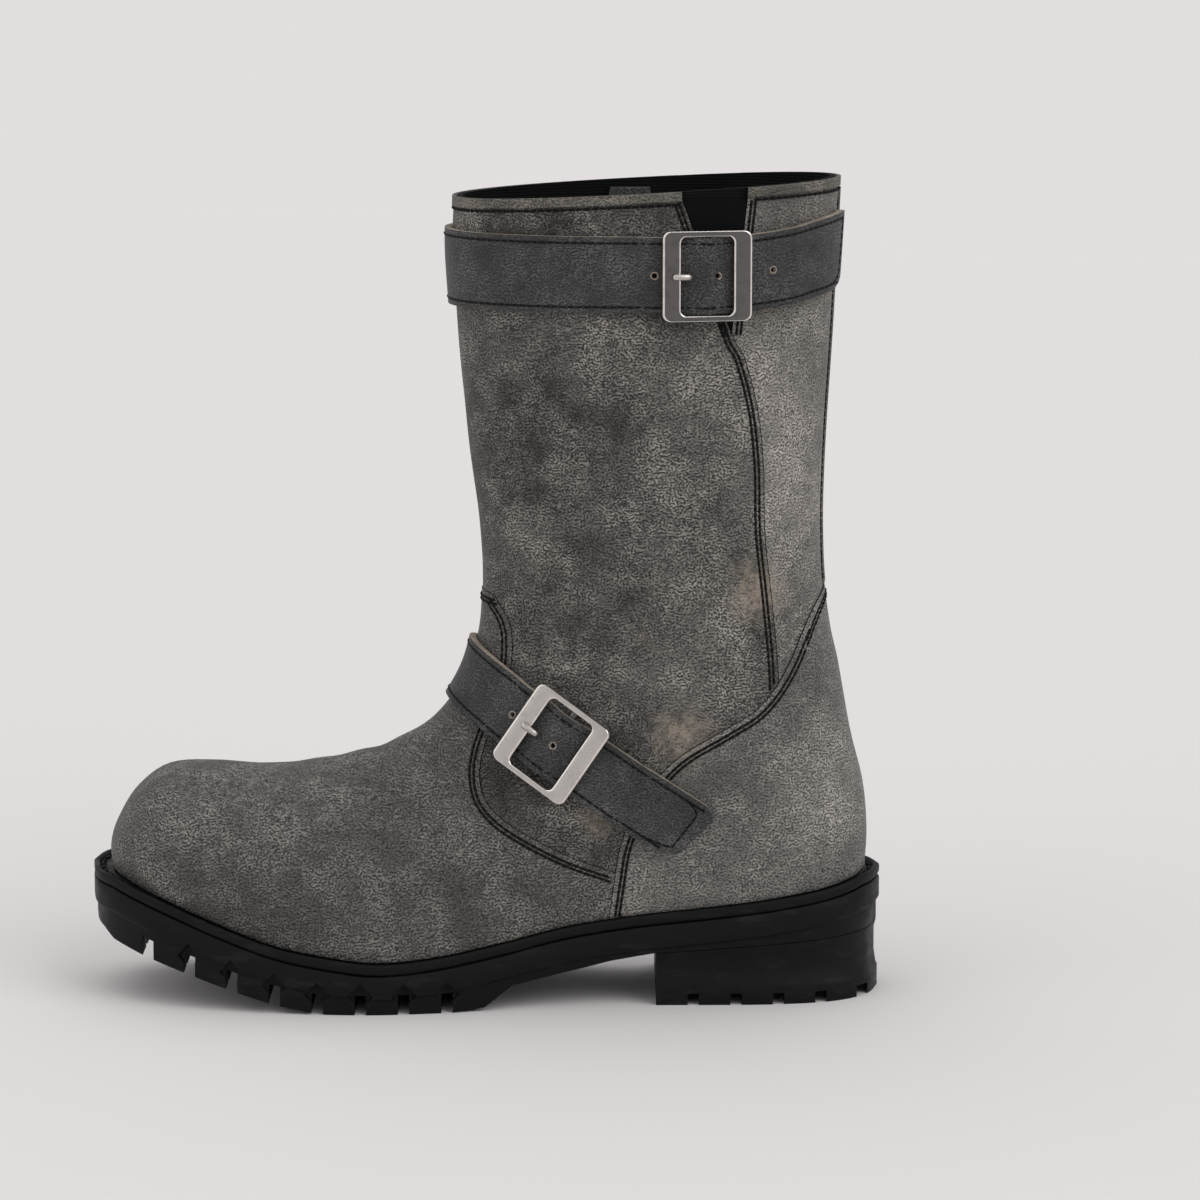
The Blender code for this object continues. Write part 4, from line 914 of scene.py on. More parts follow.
# Collar binding: the top of the shaft is folded over and sewn down, a band 3.6 mm high with a pale
# rubbed lip, and a stitched groove runs just below it, with a gap at each gore.
BINDING_HEIGHT = 0.0036
BINDING_PROUD = 0.0007
BINDING_ROUND = 0.0007
COLLAR_ROW_DROP = 0.0012
COLLAR_STEPS = 100
GORE_MARGIN = 0.001
binding_leather = leather_material("collar binding", (0.050, 0.048, 0.043, 1.0), (0.150, 0.141, 0.124, 1.0),
                                   (0.380, 0.345, 0.290, 1.0), 0.9, 0.7, 0.62, 0.00015)
binding = dressed("collar_binding", form_sheet(GAP, 24.0, 25.0), binding_leather)
thicken(binding, FRONT_LEATHER + BINDING_PROUD)


def below_collar(depth, turns):
    """Points of the last's form a depth below the collar's edge, one for each turn."""
    spots = []
    for around in turns:
        low, high = 23.5, 25.0
        edge = form_point(high, around)
        for _ in range(24):
            middle = (low + high) / 2
            too_far = (edge - form_point(middle, around)).length > depth
            low, high = (middle, high) if too_far else (low, middle)
        spots.append((low, around))
    return spots


band_low = [form_point(*spot) for spot in below_collar(BINDING_HEIGHT, [k / 20 for k in range(21)])]
band_line = [(spot.x, spot.z) for spot in band_low]
band_line = [(FAR_FRONT, band_line[0][1])] + band_line + [(FAR_BACK, band_line[-1][1])]
band_cut = side_prism("band_cut", band_line + [(FAR_BACK, ABOVE), (FAR_FRONT, ABOVE)])
carve(binding, band_cut, "INTERSECT")
carve(binding, gore_room, "DIFFERENCE")
cutters.append(band_cut)
rounded(binding, BINDING_ROUND, segments=3)
stitches = bmesh.new()
gore_from = GORE_LEFT / 100 * SOLE_LENGTH - GORE_MARGIN
gore_to = GORE_RIGHT / 100 * SOLE_LENGTH + GORE_MARGIN
for side in (-1, 1):
    row = []
    turns = [side * k / COLLAR_STEPS for k in range(COLLAR_STEPS + 1)]
    for place, around in below_collar(BINDING_HEIGHT + COLLAR_ROW_DROP, turns):
        spot = form_point(place, around)
        if gore_from < spot.x < gore_to:
            stitch(stitches, row)
            row = []
            continue
        normal = form_normal(place, around)
        row.append((spot + normal * (GAP + FRONT_LEATHER + 0.0001) + LAST_AT, normal))
    stitch(stitches, row)
sewn("collar_stitching", stitches)

# Straps: two bands of smooth bridle leather 2.8 mm thick, 29 mm wide round the collar and 26 mm over the
# instep. Their cut edges are raw and tan, a row of stitches runs 2.4 mm inside them, and each is punched
# with holes. Behind each free end a thinner chape holds the buckle's bar.
STRAP_LEATHER = 0.0028
CHAPE_LEATHER = 0.0014
TOP_BUCKLE_AT = (26.9, 89.3)
TOP_STRAP_HALF = 0.0147
TOP_STRAP_CLIMB = 0.0075
TOP_STRAP_CLIMB_RUN = 0.0520
TOP_STRAP_MEDIAL = 0.930
INSTEP_BUCKLE_AT = (9.0, 32.4)
INSTEP_SLOPE = 34.0
INSTEP_STRAP_HALF = 0.0132
INSTEP_MEDIAL_END = 0.0660
LIFT_FRONT = 0.0270
LIFT_BACK = 0.0400
LIFT_RAMP = 0.0085
CHAPE_START = 0.0030
CHAPE_END = 0.0300
CHAPE_HALF = 0.0105
PRONG_HOLE = 0.0072
BULGE_RISE = 0.0026
BULGE_REACH = 0.0100
BUCKLE_LIFT = CHAPE_LEATHER + GAP
TOP_SEAT = GAP + FRONT_LEATHER + GAP
INSTEP_SEAT = GAP + VAMP_LEATHER + GAP
EDGE_STITCH = 0.0024
STRAP_STITCH_PITCH = 0.0033
STRAP_STITCH_LENGTH = 0.0025
STRAP_THREAD_RADIUS = 0.0003
STRAP_SHADE_STRIP_HALF = 0.0005
STRAP_ROUND = 0.0005
HOLE_RADIUS = 0.0010
DRILL_DEPTH = 0.012
RIM_GAP = 0.0001
RIM_LIFT = 0.00006
RIM_SPREAD = 1.45
TOP_HOLES = (-0.0190, 0.0038, 0.0242)
INSTEP_HOLES = (-0.0176, 0.0008)

# Tips: reach, slant, and how much the lower and the upper corner are rounded off, for the top strap in
# turns of the form and for the instep strap in metres along it
TOP_TIP = (0.962, 0.014, 0.045, 0.004)
INSTEP_TIP = (0.0680, 0.0052, 0.0140, 0.0060)
TIP_CORNER = 0.4
TIP_STITCH_TURN = 0.020
strap_leather = leather_material("strap leather", (0.024, 0.025, 0.026, 1.0), (0.052, 0.052, 0.053, 1.0),
                                 (0.190, 0.186, 0.178, 1.0), 0.75, 0.7, 0.50, 0.00016)
raw_edge = leather_material("raw tan edge", (0.200, 0.165, 0.130, 1.0), (0.400, 0.345, 0.285, 1.0),
                            (0.600, 0.540, 0.470, 1.0), 0.5, 0.9, 0.85, 0.00025)


def halved(low, high, value, target):
    """Where a rising value meets its target, by halving."""
    for _ in range(22):
        middle = (low + high) / 2
        low, high = (middle, high) if value(middle) < target else (low, middle)
    return (low + high) / 2


class Strap:
    """A band on the form: how far across and along it a point lies, in metres from its buckle."""

    def __init__(self, name, seat, centre, slope, half):
        self.name, self.seat, self.half = name, seat, half
        self.centre = Vector((centre[0] / 100 * SOLE_LENGTH, centre[1] / 100 * BOOT_HEIGHT))
        self.run = Vector((math.cos(slope), -math.sin(slope)))

    def along(self, spot):
        """Distance along the band in side view, to the rear of the buckle's middle."""
        return self.run.dot(Vector((spot.x, spot.z)) - self.centre)

    def across(self, spot):
        """Distance across the band in side view, above its middle line, with its bend taken out."""
        reach = Vector((spot.x, spot.z)) - self.centre
        return self.run.x * reach.y - self.run.y * reach.x - self.bend(self.along(spot))

    def bend(self, along):
        """Rise of the band's middle line off straight."""
        return 0.0

    def place(self, around, across):
        """Place in the form's table where the band has this distance across."""
        return halved(6.0, 25.4, lambda place: self.across(form_point(place, around)), across)

    def around(self, along, side):
        """Turn round the form where the band's middle reaches this distance along, on one side."""
        def reached(turn):
            return self.along(form_point(self.place(side * turn, 0.0), side * turn))
        return side * halved(0.05, 0.98, reached, along)

    def lift(self, along, side):
        """Height of the band's underside over its seat."""
        if side > 0:
            return 0.0
        rise_front = min(max((along + LIFT_FRONT) / LIFT_RAMP, 0.0), 1.0)
        rise = rise_front * min(max((LIFT_BACK - along) / LIFT_RAMP, 0.0), 1.0)
        swell = math.cos(math.pi / 2 * along / BULGE_REACH) ** 2 if abs(along) < BULGE_REACH else 0.0
        return BUCKLE_LIFT * rise * rise * (3 - 2 * rise) + BULGE_RISE * swell

    def sheet(self, turns, rows, low, lifted=True):
        """An open grid on the band, one column for each turn and one row for each distance across."""
        def laid(column, row):
            """Point of the grid's underside."""
            around = turns[column][row]
            place = self.place(around, rows[row])
            spot = form_point(place, around)
            rise = self.lift(self.along(spot), around) if lifted else 0.0
            return spot + form_normal(place, around) * (low + rise)

        bm = bmesh.new()
        laid_grid(bm, len(turns), len(rows), laid)
        bmesh.ops.reverse_faces(bm, faces=bm.faces)
        return bm

    def frame(self):
        """Placement at the buckle: X along the strap, Y across it, Z out of the leather."""
        around = self.around(0.0, -1)
        place = self.place(around, 0.0)
        normal = form_normal(place, around)
        run = Vector((self.run.x, 0.0, self.run.y))
        run = (run - normal * run.dot(normal)).normalized()
        turn = Matrix((run, normal.cross(run), normal)).transposed().to_4x4()
        return Matrix.Translation(form_point(place, around)) @ turn

    def face_spot(self, around, across):
        """A point on the strap's outer face, with its normal."""
        place = self.place(around, across)
        point = form_point(place, around)
        normal = form_normal(place, around)
        rise = self.seat + STRAP_LEATHER + self.lift(self.along(point), around)
        return point + normal * rise + LAST_AT, normal


class TopStrap(Strap):
    """The band round the collar, which climbs towards the back."""

    def bend(self, along):
        return TOP_STRAP_CLIMB * max(along / TOP_STRAP_CLIMB_RUN, 0.0) ** 2


def spread(stops):
    """Turns from stop to stop, each with its turn in every row and the number of steps to the next."""
    turns = []
    for (low, steps), (high, _) in zip(stops, stops[1:]):
        turns += [[a + (b - a) * k / steps for a, b in zip(low, high)] for k in range(steps)]
    return turns + [stops[-1][0]]


def tip_reach(share, tip):
    """How far a strap's slanted tip reaches in a row, from -1 at its lower edge to 1 at its upper one."""
    reach, slant, low, high = tip
    below, above = (max((part - (1 - TIP_CORNER)) / TIP_CORNER, 0) for part in (-share, share))
    return reach - slant * (1 - share) / 2 - (low * below ** 3 + high * above ** 3)


def turn_on_row(strap, reach, row):
    """The turn on the outer side at which one row of a strap has come a distance along it."""
    return -halved(0.0, 1.0, lambda turn: strap.along(form_point(strap.place(-turn, row), -turn)), reach)


def wrap(strap, tip, far_end, holes):
    """A strap from its tip past the buckle and round the front to its end, with holes and stitches."""
    rows = [strap.half * k / 8 for k in range(-8, 9)]
    count = len(rows)
    at_back = [strap.around(LIFT_BACK, -1)] * count
    at_front = [strap.around(-LIFT_FRONT, -1)] * count
    ends = [tip(row / strap.half) for row in rows]
    stops = ((ends, 24), (at_back, 60), (at_front, 50), ([0.0] * count, 80), ([far_end] * count, 0))
    columns = spread(stops)
    piece = dressed(strap.name, strap.sheet(columns, rows, strap.seat), strap_leather,
                    (strap.name,))
    piece.data.materials.append(raw_edge)
    thicken(piece, STRAP_LEATHER, rim=1)
    drill = bmesh.new()
    rings = bmesh.new()
    for along in holes + (-PRONG_HOLE,):
        spot, normal = strap.face_spot(strap.around(along, -1), 0.0)
        turn = normal.to_track_quat("Z", "Y").to_matrix().to_4x4()
        at = Matrix.Translation(spot - LAST_AT)
        bmesh.ops.create_cone(drill, cap_ends=True, segments=20, radius1=HOLE_RADIUS, radius2=HOLE_RADIUS,
                              depth=DRILL_DEPTH, matrix=at @ turn)
        if along != -PRONG_HOLE:
            lifted = at @ turn @ Matrix.Translation((0, 0, RIM_LIFT))
            ring = bmesh.ops.create_circle(rings, segments=24, radius=HOLE_RADIUS + RIM_GAP,
                                           matrix=lifted)["verts"]
            edges = list({edge for vert in ring for edge in vert.link_edges})
            drawn = bmesh.ops.extrude_edge_only(rings, edges=edges)["geom"]
            outer = [item for item in drawn if isinstance(item, bmesh.types.BMVert)]
            bmesh.ops.scale(rings, vec=(RIM_SPREAD, RIM_SPREAD, RIM_SPREAD),
                            space=Matrix.Translation(LAST_AT - spot), verts=outer)
    bmesh.ops.recalc_face_normals(drill, faces=drill.faces)
    cutter = as_object(strap.name + "_drill", drill, raw_edge)
    cutter.hide_render = True
    cutters.append(cutter)
    carve(piece, cutter, "DIFFERENCE")
    rounded(piece, STRAP_ROUND)
    rings.normal_update()
    for face in rings.faces:
        if face.normal.y > 0:
            face.normal_flip()
    dressed(strap.name + "_hole_rims", rings, raw_edge)
    sewing = bmesh.new()
    inner = strap.half - EDGE_STITCH
    lower, upper_side = ([strap.face_spot(column[nearest], row) for column in columns[3:]]
                         for nearest, row in ((1, -inner), (count - 2, inner)))
    end = [strap.face_spot(tip(k / 12) + TIP_STITCH_TURN, inner * k / 12) for k in range(-12, 13)]
    stitch(sewing, list(reversed(lower)) + end + upper_side, STRAP_STITCH_PITCH, STRAP_STITCH_LENGTH,
           STRAP_THREAD_RADIUS, STRAP_SHADE_STRIP_HALF)
    sewn(strap.name + "_stitching", sewing)
    return piece


def chape(strap):
    """The thinner leather behind the free end, which wraps the buckle's bar."""
    name = strap.name.replace("strap", "chape")
    rows = [CHAPE_HALF * k / 4 for k in range(-4, 5)]
    ends = [[strap.around(along, -1)] * len(rows) for along in (CHAPE_START, CHAPE_END)]
    sheet = strap.sheet(spread(((ends[1], 16), (ends[0], 0))), rows, strap.seat, lifted=False)
    piece = dressed(name, sheet, strap_leather, (name,))
    piece.data.materials.append(raw_edge)
    thicken(piece, CHAPE_LEATHER, rim=1)
    baked(piece)
    return piece


top = TopStrap("top_strap", TOP_SEAT, TOP_BUCKLE_AT, 0.0, TOP_STRAP_HALF)
instep = Strap("instep_strap", INSTEP_SEAT, INSTEP_BUCKLE_AT, math.radians(INSTEP_SLOPE),
               INSTEP_STRAP_HALF)
wrap(top, lambda share: -tip_reach(share, TOP_TIP), TOP_STRAP_MEDIAL, TOP_HOLES)
wrap(instep, lambda share: turn_on_row(instep, tip_reach(share, INSTEP_TIP), share * INSTEP_STRAP_HALF),
     instep.around(INSTEP_MEDIAL_END, 1), INSTEP_HOLES)
chape(top)
chape(instep)

# Buckles: flat square frames cast in zinc and nickel plated, satin on their faces and polished on their
# bevelled edges, with a bar behind the strap that carries a short round prong. The top frame and the bars
# take a darker copy of the nickel, painted shade.
BUCKLE_WIDTH = 0.0350
TOP_BUCKLE_HEIGHT = 0.0350
INSTEP_BUCKLE_HEIGHT = 0.0360
BUCKLE_SIDE_BAR = 0.0072
BUCKLE_END_BAR = 0.0022
BUCKLE_THICKNESS = 0.0028
BUCKLE_CORNER = 0.0030
CENTRE_BAR = 0.0024
PRONG_RADIUS = 0.0013
PRONG_REST = 0.0036
BEVEL_WIDTH = 0.0007
WINDOW_CORNER = 0.0026
LEG_THICKNESS = 0.0013
LEG_LAP = 0.0001
LEG_RISE = 0.0006
BAR_ROUND = 0.0003


def nickel_material(name, colour, low, high):
    """Nickel plate with fine brushing and a few handling marks."""
    material, nodes, principled, place = finish_material(name, Metallic=1.0)
    stretch = nodes.add("ShaderNodeMapping", {"Vector": place, "Scale": (1.0, 1.0, 0.08)}).outputs["Vector"]
    brush = nodes.noise(stretch, 3200.0, 2.0)
    marks = nodes.band(nodes.noise(place, 260.0, 4.0, 0.65), 0.46, 0.70)
    dark = tuple(0.72 * part for part in colour[:3]) + (1.0,)
    nodes.feed(principled, "Base Color", nodes.mix(nodes.math("MULTIPLY", marks, 0.6), colour, dark))
    worn = nodes.math("MULTIPLY", nodes.math("ADD", brush, marks), 0.5)
    nodes.feed(principled, "Roughness", nodes.band(worn, 0.2, 0.8, low, high))
    bumped(nodes, principled, brush, 0.00003)
    return material


satin_nickel = nickel_material("satin nickel", (0.56, 0.528, 0.500, 1.0), 0.26, 0.46)
# Painted shade: a darker copy of the same nickel, for the top buckle's frame and the bars under the straps
painted_shade_nickel = nickel_material("nickel with painted shade", (0.135, 0.130, 0.126, 1.0), 0.26, 0.44)
bright_nickel = nickel_material("bright nickel", (0.80, 0.745, 0.705, 1.0), 0.12, 0.26)


def buckle(strap, height, metal):
    """A buckle in its own frame: two rounded outlines bridged to a plate, drawn up and rounded."""
    name = strap.name.replace("strap", "buckle")
    seat = strap.seat + STRAP_LEATHER + BUCKLE_LIFT + GAP
    bm = bmesh.new()
    window = (BUCKLE_WIDTH - 2 * BUCKLE_SIDE_BAR, height - 2 * BUCKLE_END_BAR, WINDOW_CORNER)
    for wide, high, corner in ((BUCKLE_WIDTH, height, BUCKLE_CORNER), window):
        plate = bmesh.ops.create_grid(bm, x_segments=1, y_segments=1, size=0.5)["verts"]
        bmesh.ops.scale(bm, vec=(wide, high, 1.0), verts=plate)
        bmesh.ops.bevel(bm, geom=plate, offset=corner, segments=8, profile=0.5, affect="VERTICES",
                        material=-1)
    bmesh.ops.delete(bm, geom=bm.faces[:], context="FACES_ONLY")
    bmesh.ops.bridge_loops(bm, edges=bm.edges[:])
    bmesh.ops.translate(bm, vec=(0, 0, seat), verts=bm.verts)
    drawn = bmesh.ops.extrude_face_region(bm, geom=bm.faces[:])["geom"]
    raised = [item for item in drawn if isinstance(item, bmesh.types.BMVert)]
    bmesh.ops.translate(bm, vec=(0, 0, BUCKLE_THICKNESS), verts=raised)
    bmesh.ops.recalc_face_normals(bm, faces=bm.faces)
    bmesh.ops.transform(bm, matrix=strap.frame(), verts=bm.verts)
    piece = dressed(name, bm, metal, (name,))
    piece.data.materials.append(bright_nickel)
    round_edges(piece, BEVEL_WIDTH, 40, 3, 1)
    baked(piece)
    bar = bmesh.new()
    span = height / 2 - BUCKLE_END_BAR / 2
    leg_at = (strap.seat + seat) / 2 + LEG_RISE
    leg = (CENTRE_BAR * 0.7, LEG_THICKNESS, seat - strap.seat)
    for y, z, size in ((0, strap.seat + CENTRE_BAR / 2, (CENTRE_BAR, 2 * span, CENTRE_BAR * 0.8)),
                       (span - LEG_LAP, leg_at, leg), (LEG_LAP - span, leg_at, leg)):
        at = Matrix.Translation((0, y, z)) @ Matrix.Diagonal(size + (1.0,))
        bmesh.ops.create_cube(bar, size=1.0, matrix=at)
    bmesh.ops.transform(bar, matrix=strap.frame(), verts=bar.verts)
    staple = dressed(name + "_bar", bar, painted_shade_nickel)
    round_edges(staple, BAR_ROUND, 40, 2)
    baked(staple)
    return piece


def prong(strap, metal):
    """The prong: a pin that rises from its hole in the strap, bends over the frame's bar and rests on it."""
    name = strap.name.replace("strap", "prong")
    leather = strap.seat + STRAP_LEATHER + strap.lift(-PRONG_HOLE, -1)
    rest = strap.seat + STRAP_LEATHER + BUCKLE_LIFT + GAP + BUCKLE_THICKNESS + 0.0001 + PRONG_RADIUS * 0.8
    inner_edge = BUCKLE_WIDTH / 2 - BUCKLE_SIDE_BAR
    route = [(-PRONG_HOLE + 0.0008, leather - 0.0015), (-PRONG_HOLE + 0.0006, leather + 0.0002),
             (-PRONG_HOLE - 0.0002, rest - 0.0006), (-PRONG_HOLE - 0.0014, rest + 0.0001),
             (-inner_edge - 0.0008, rest + 0.0002), (-inner_edge - PRONG_REST, rest)]
    bm = bmesh.new()
    ring = bmesh.ops.create_circle(bm, segments=20, radius=PRONG_RADIUS, cap_ends=True)["verts"]
    base = [vert.co.copy() for vert in ring]
    line = smooth_line(route, 5)
    last = len(line) - 1

    def set_ring(verts, k):
        """Set a ring of vertices square across the route at one of its points, narrower at both ends."""
        x, z = line[k]
        run = (Vector(line[min(k + 1, last)]) - Vector(line[max(k - 1, 0)])).normalized()
        round_off = math.sqrt(max(1 - (max(abs(2 * k / last - 1) - 0.86, 0) / 0.15) ** 2, 0.02))
        for vert, at in zip(verts, base):
            vert.co = Vector((x - run.y * at.x * round_off, at.y * round_off, z + run.x * at.x * round_off))

    set_ring(ring, 0)
    for k in range(1, last + 1):
        edges = [edge for edge in bm.edges if edge.verts[0] in ring and edge.verts[1] in ring]
        rim = bmesh.ops.extrude_edge_only(bm, edges=edges)["geom"]
        fresh = [item for item in rim if isinstance(item, bmesh.types.BMVert)]
        following = {}
        for vert in fresh:
            nearest = min(range(len(ring)), key=lambda n: (ring[n].co - vert.co).length)
            following[nearest] = vert
        ring = [following[n] for n in range(len(ring))]
        set_ring(ring, k)
    bmesh.ops.contextual_create(bm, geom=ring)
    bmesh.ops.recalc_face_normals(bm, faces=bm.faces)
    bmesh.ops.transform(bm, matrix=strap.frame(), verts=bm.verts)
    piece = dressed(name, bm, metal, (name,))
    piece.data.shade_smooth()
    return piece


buckle(top, TOP_BUCKLE_HEIGHT, painted_shade_nickel)
prong(top, satin_nickel)
buckle(instep, INSTEP_BUCKLE_HEIGHT, satin_nickel)
prong(instep, satin_nickel)

# Pull loops: one inside each side of the collar, a strip of leather 9 mm wide folded into an upturned V
# and sewn to the lining. Each just shows over the edge.
PULL_AT = (18.2, 97.6)
PULL_LEATHER = 0.0016
PULL_WIDTH = 0.0090
PULL_SPREAD = 0.0150
PULL_DROP = 0.0420
PULL_APEX_HALF = PULL_WIDTH * 0.9
PULL_ROUND = 0.0004
for side_name, y_low, y_high in BOTH_SIDES:
    seat = -LINING_WALL - GAP - PULL_LEATHER
    pull = dressed("pull_loop_" + side_name, form_sheet(seat, 20.0, 25.0), strap_leather,
                   ("pull_loop_" + side_name,))
    pull.data.materials.append(edge_leather)
    thicken(pull, PULL_LEATHER)
    x, z = PULL_AT[0] / 100 * SOLE_LENGTH, PULL_AT[1] / 100 * BOOT_HEIGHT
    outline = [(x - PULL_APEX_HALF, z), (x + PULL_APEX_HALF, z), (x + PULL_SPREAD, z - PULL_DROP),
               (x + PULL_SPREAD - PULL_WIDTH, z - PULL_DROP), (x, z - PULL_WIDTH),
               (x - PULL_SPREAD + PULL_WIDTH, z - PULL_DROP), (x - PULL_SPREAD, z - PULL_DROP)]
    cutter = side_prism("pull_cut_" + side_name, outline, y_low, y_high)
    carve(pull, cutter, "INTERSECT")
    cutters.append(cutter)
    rounded(pull, PULL_ROUND)

# Sole: a black rubber welt with a raised rim and a channel whose long stitches hold the upper, over a
# lugged outsole moulded in one with its arch, and a separate heel block with lugs of its own.
SEAT_GAP = 0.0005
WELT_THICKNESS = 0.0040
INSOLE_THICKNESS = 0.0040
INSOLE_CLEARANCE = 0.0016
LUG_DEPTH = 0.0075
LUG_PITCH = 0.0170
LUG_GAP = 0.0045
HEEL_BREAST_X = 0.0680
HEEL_LUG_DEPTH = 0.0045
GROOVE_INSET = 0.0130
GROOVE_WIDTH = 0.0035
SCALLOP_RADIUS = 0.0062
SCALLOP_DEPTH = 0.0018
SOLE_PAIRS = 110
LUG_ROUND = 0.0005
TREAD_START = -0.1485
TREAD_END = 0.0095
HEEL_END = 0.163
BELOW_FLOOR = -0.02

# Side view lines of the underside, both columns in per cent of SOLE_LENGTH
TREAD_LINE = ((-52.0, 9.6), (-45.9, 7.3), (-41.0, 5.7), (-36.2, 4.2), (-30.5, 2.4), (-25.5, 1.0),
              (-20.5, 0.15), (-17.0, 0.0), (-4.5, 0.0), (-1.0, 0.35), (3.0, 1.0))
ARCH_LINE = ((3.0, 3.1), (12.6, 5.0), (15.6, 5.7), (21.2, 6.6), (30.0, 7.2), (40.0, 7.9), (52.0, 8.8))
TREAD = smooth_line(side_points(TREAD_LINE, SOLE_LENGTH), 8)
ARCH = side_points(ARCH_LINE, SOLE_LENGTH)


RUBBER_BLACK = (0.0050, 0.0053, 0.0060, 1.0)
RUBBER_DUST = (0.026, 0.026, 0.027, 1.0)


def rubber_material():
    """Moulded black rubber: satin, with a fine grain, faint mould marks and clouds of grey dust."""
    material, nodes, principled, place = finish_material("black rubber", Specular_IOR_Level=0.12)
    grain = nodes.noise(place, 1600.0, 3.0, 0.6)
    drawn = nodes.add("ShaderNodeMapping", {"Vector": place, "Scale": (0.25, 0.5, 1.0)}).outputs["Vector"]
    marks = nodes.noise(drawn, 190.0, 5.0, 0.65)
    dust = nodes.math("MULTIPLY", nodes.band(marks, 0.50, 0.78), 0.55)
    nodes.feed(principled, "Base Color", nodes.mix(dust, RUBBER_BLACK, RUBBER_DUST))
    nodes.feed(principled, "Roughness", nodes.band(marks, 0.3, 0.7, 0.40, 0.62))
    bumped(nodes, principled, nodes.math("ADD", grain, nodes.math("MULTIPLY", marks, 0.8)), 0.00012)
    return material


black_rubber = rubber_material()


def sole_loop(reach, height, welted=True):
    """Closed loop round the sole: the feather line moved out by the welt and reach, at heights by x."""
    places = [CLOSED_ROW * k / SOLE_PAIRS for k in range(SOLE_PAIRS + 1)]
    outer = [(form("foot_x", place), -form("foot_out", place), place) for place in places]
    inner = [(form("foot_x", place), form("foot_in", place), place) for place in reversed(places[1:-1])]
    outer[-1] = (outer[-1][0], 0.0, outer[-1][2])
    loop = outer + inner
    moved = []
    for k, (x, y, place) in enumerate(loop):
        before = loop[k - 1]
        after = loop[(k + 1) % len(loop)]
        run = Vector((after[0] - before[0], after[1] - before[1])).normalized()
        distance = reach + (form("welt", place) if welted else 0.0)
        moved.append(Vector((x + run.y * distance, y - run.x * distance, 0.0)))
    for k, spot in enumerate(moved):
        across = moved[-k] if k else spot
        spot.z = height((spot.x + across.x) / 2)
    return moved


def stack(loops, ring=False):
    """A closed bmesh skinned over loops, from the lowest up; a ring joins its last loop to its first."""
    bm = bmesh.new()
    count = len(loops[0])
    walls = list(loops) + ([loops[0]] if ring else [])
    laid_grid(bm, count + 1, len(walls), lambda column, row: walls[row][column % count])
    if not ring:
        for loop in (loops[0], loops[-1]):
            laid_grid(bm, count // 2 + 1, 2,
                      lambda column, row: loop[(count - column) % count if row else column])
    bmesh.ops.remove_doubles(bm, verts=bm.verts, dist=0.0000001)
    bmesh.ops.recalc_face_normals(bm, faces=bm.faces)
    if bm.calc_volume(signed=True) < 0:
        bmesh.ops.reverse_faces(bm, faces=bm.faces)
    return bm


def rubber_cutter(name, bm):
    """A cutter from a closed bmesh, whose faces leave rubber."""
    cutter = as_object(name, bm, black_rubber)
    cutter.hide_render = True
    cutters.append(cutter)
    return cutter


def rubber_prism(name, outline):
    """A side view cutter for the sole."""
    cutter = side_prism(name, outline)
    cutter.data.materials[0] = black_rubber
    cutters.append(cutter)
    return cutter


def welt_top(x):
    """Height of the welt's upper face."""
    return height_on(FEATHER_LINE, x) - SEAT_GAP


def welt_foot(x):
    """Height of the welt's lower face."""
    return welt_top(x) - WELT_THICKNESS


def outsole_top(x):
    """Height of the outsole's upper face."""
    return welt_foot(x) - GAP


def arch(x):
    """Height of the outsole's underside behind the tread."""
    return height_on(ARCH, x)


def tread(x):
    """Height of the walking surface under the forefoot."""
    return max(height_on(TREAD, x), 0.0)


# Profiles of the sole's parts from the lowest loop up: how far out each loop lies, and its rise over the
# face that it belongs to. The welt's middle column is 0 for its lower face and 1 for its upper one.
WELT_PROFILE = ((-0.0010, 0.0, 0.0), (-0.0002, 0.0, 0.0006), (0.0, 0.0, 0.0014), (0.0, 1.0, -0.0006),
                (-0.0003, 1.0, 0.0001), (-0.0009, 1.0, 0.0004), (-0.0017, 1.0, 0.0003),
                (-0.0022, 1.0, -0.0002), (-0.0026, 1.0, -0.0012), (-0.0046, 1.0, -0.0013),
                (-0.0054, 1.0, -0.0003), (-0.0062, 1.0, 0.0))
OUTSOLE_LOW = (-0.0012, -0.010)
OUTSOLE_PROFILE = ((-0.0012, -0.0105), (-0.0010, -0.0098), (-0.0002, -0.0092), (0.0, -0.0084),
                   (0.0, -0.0010), (-0.0003, -0.0003), (-0.0010, 0.0))
HEEL_FOOT_PROFILE = ((-0.0006, 0.0), (-0.0006, 0.0085), (-0.0012, 0.0095), (-0.0020, 0.0150))
HEEL_TOP_PROFILE = ((-0.0020, -0.0030), (-0.0015, -0.0012), (-0.0012, 0.0))


def profile_loops(face, profile, welted=True):
    """The loops of a profile, each with its rise over a face whose height is found from x."""
    return [sole_loop(reach, lambda x: face(x) + rise, welted) for reach, rise in profile]


welt = dressed("welt", stack([
    sole_loop(reach, lambda x: welt_foot(x) + share * WELT_THICKNESS + rise)
    for reach, share, rise in WELT_PROFILE
]), black_rubber, ("welt",))
welt.data.shade_smooth()
welt.data.set_sharp_from_angle(angle=math.radians(50))

WELT_STITCH_PITCH = 0.0070
WELT_STITCH_LENGTH = 0.0061
WELT_THREAD_RADIUS = 0.00085
WELT_SHADE_STRIP_HALF = 0.0009
CHANNEL_REACH = -0.0036
CHANNEL_DEPTH = 0.0012
channel = [point + LAST_AT for point in sole_loop(CHANNEL_REACH, lambda x: welt_top(x) - CHANNEL_DEPTH)]
sewing = bmesh.new()
stitch(sewing, [(point, Vector((0, 0, 1))) for point in channel + channel[:1]], WELT_STITCH_PITCH,
       WELT_STITCH_LENGTH, WELT_THREAD_RADIUS, WELT_SHADE_STRIP_HALF)
sewn("welt_stitching", sewing)

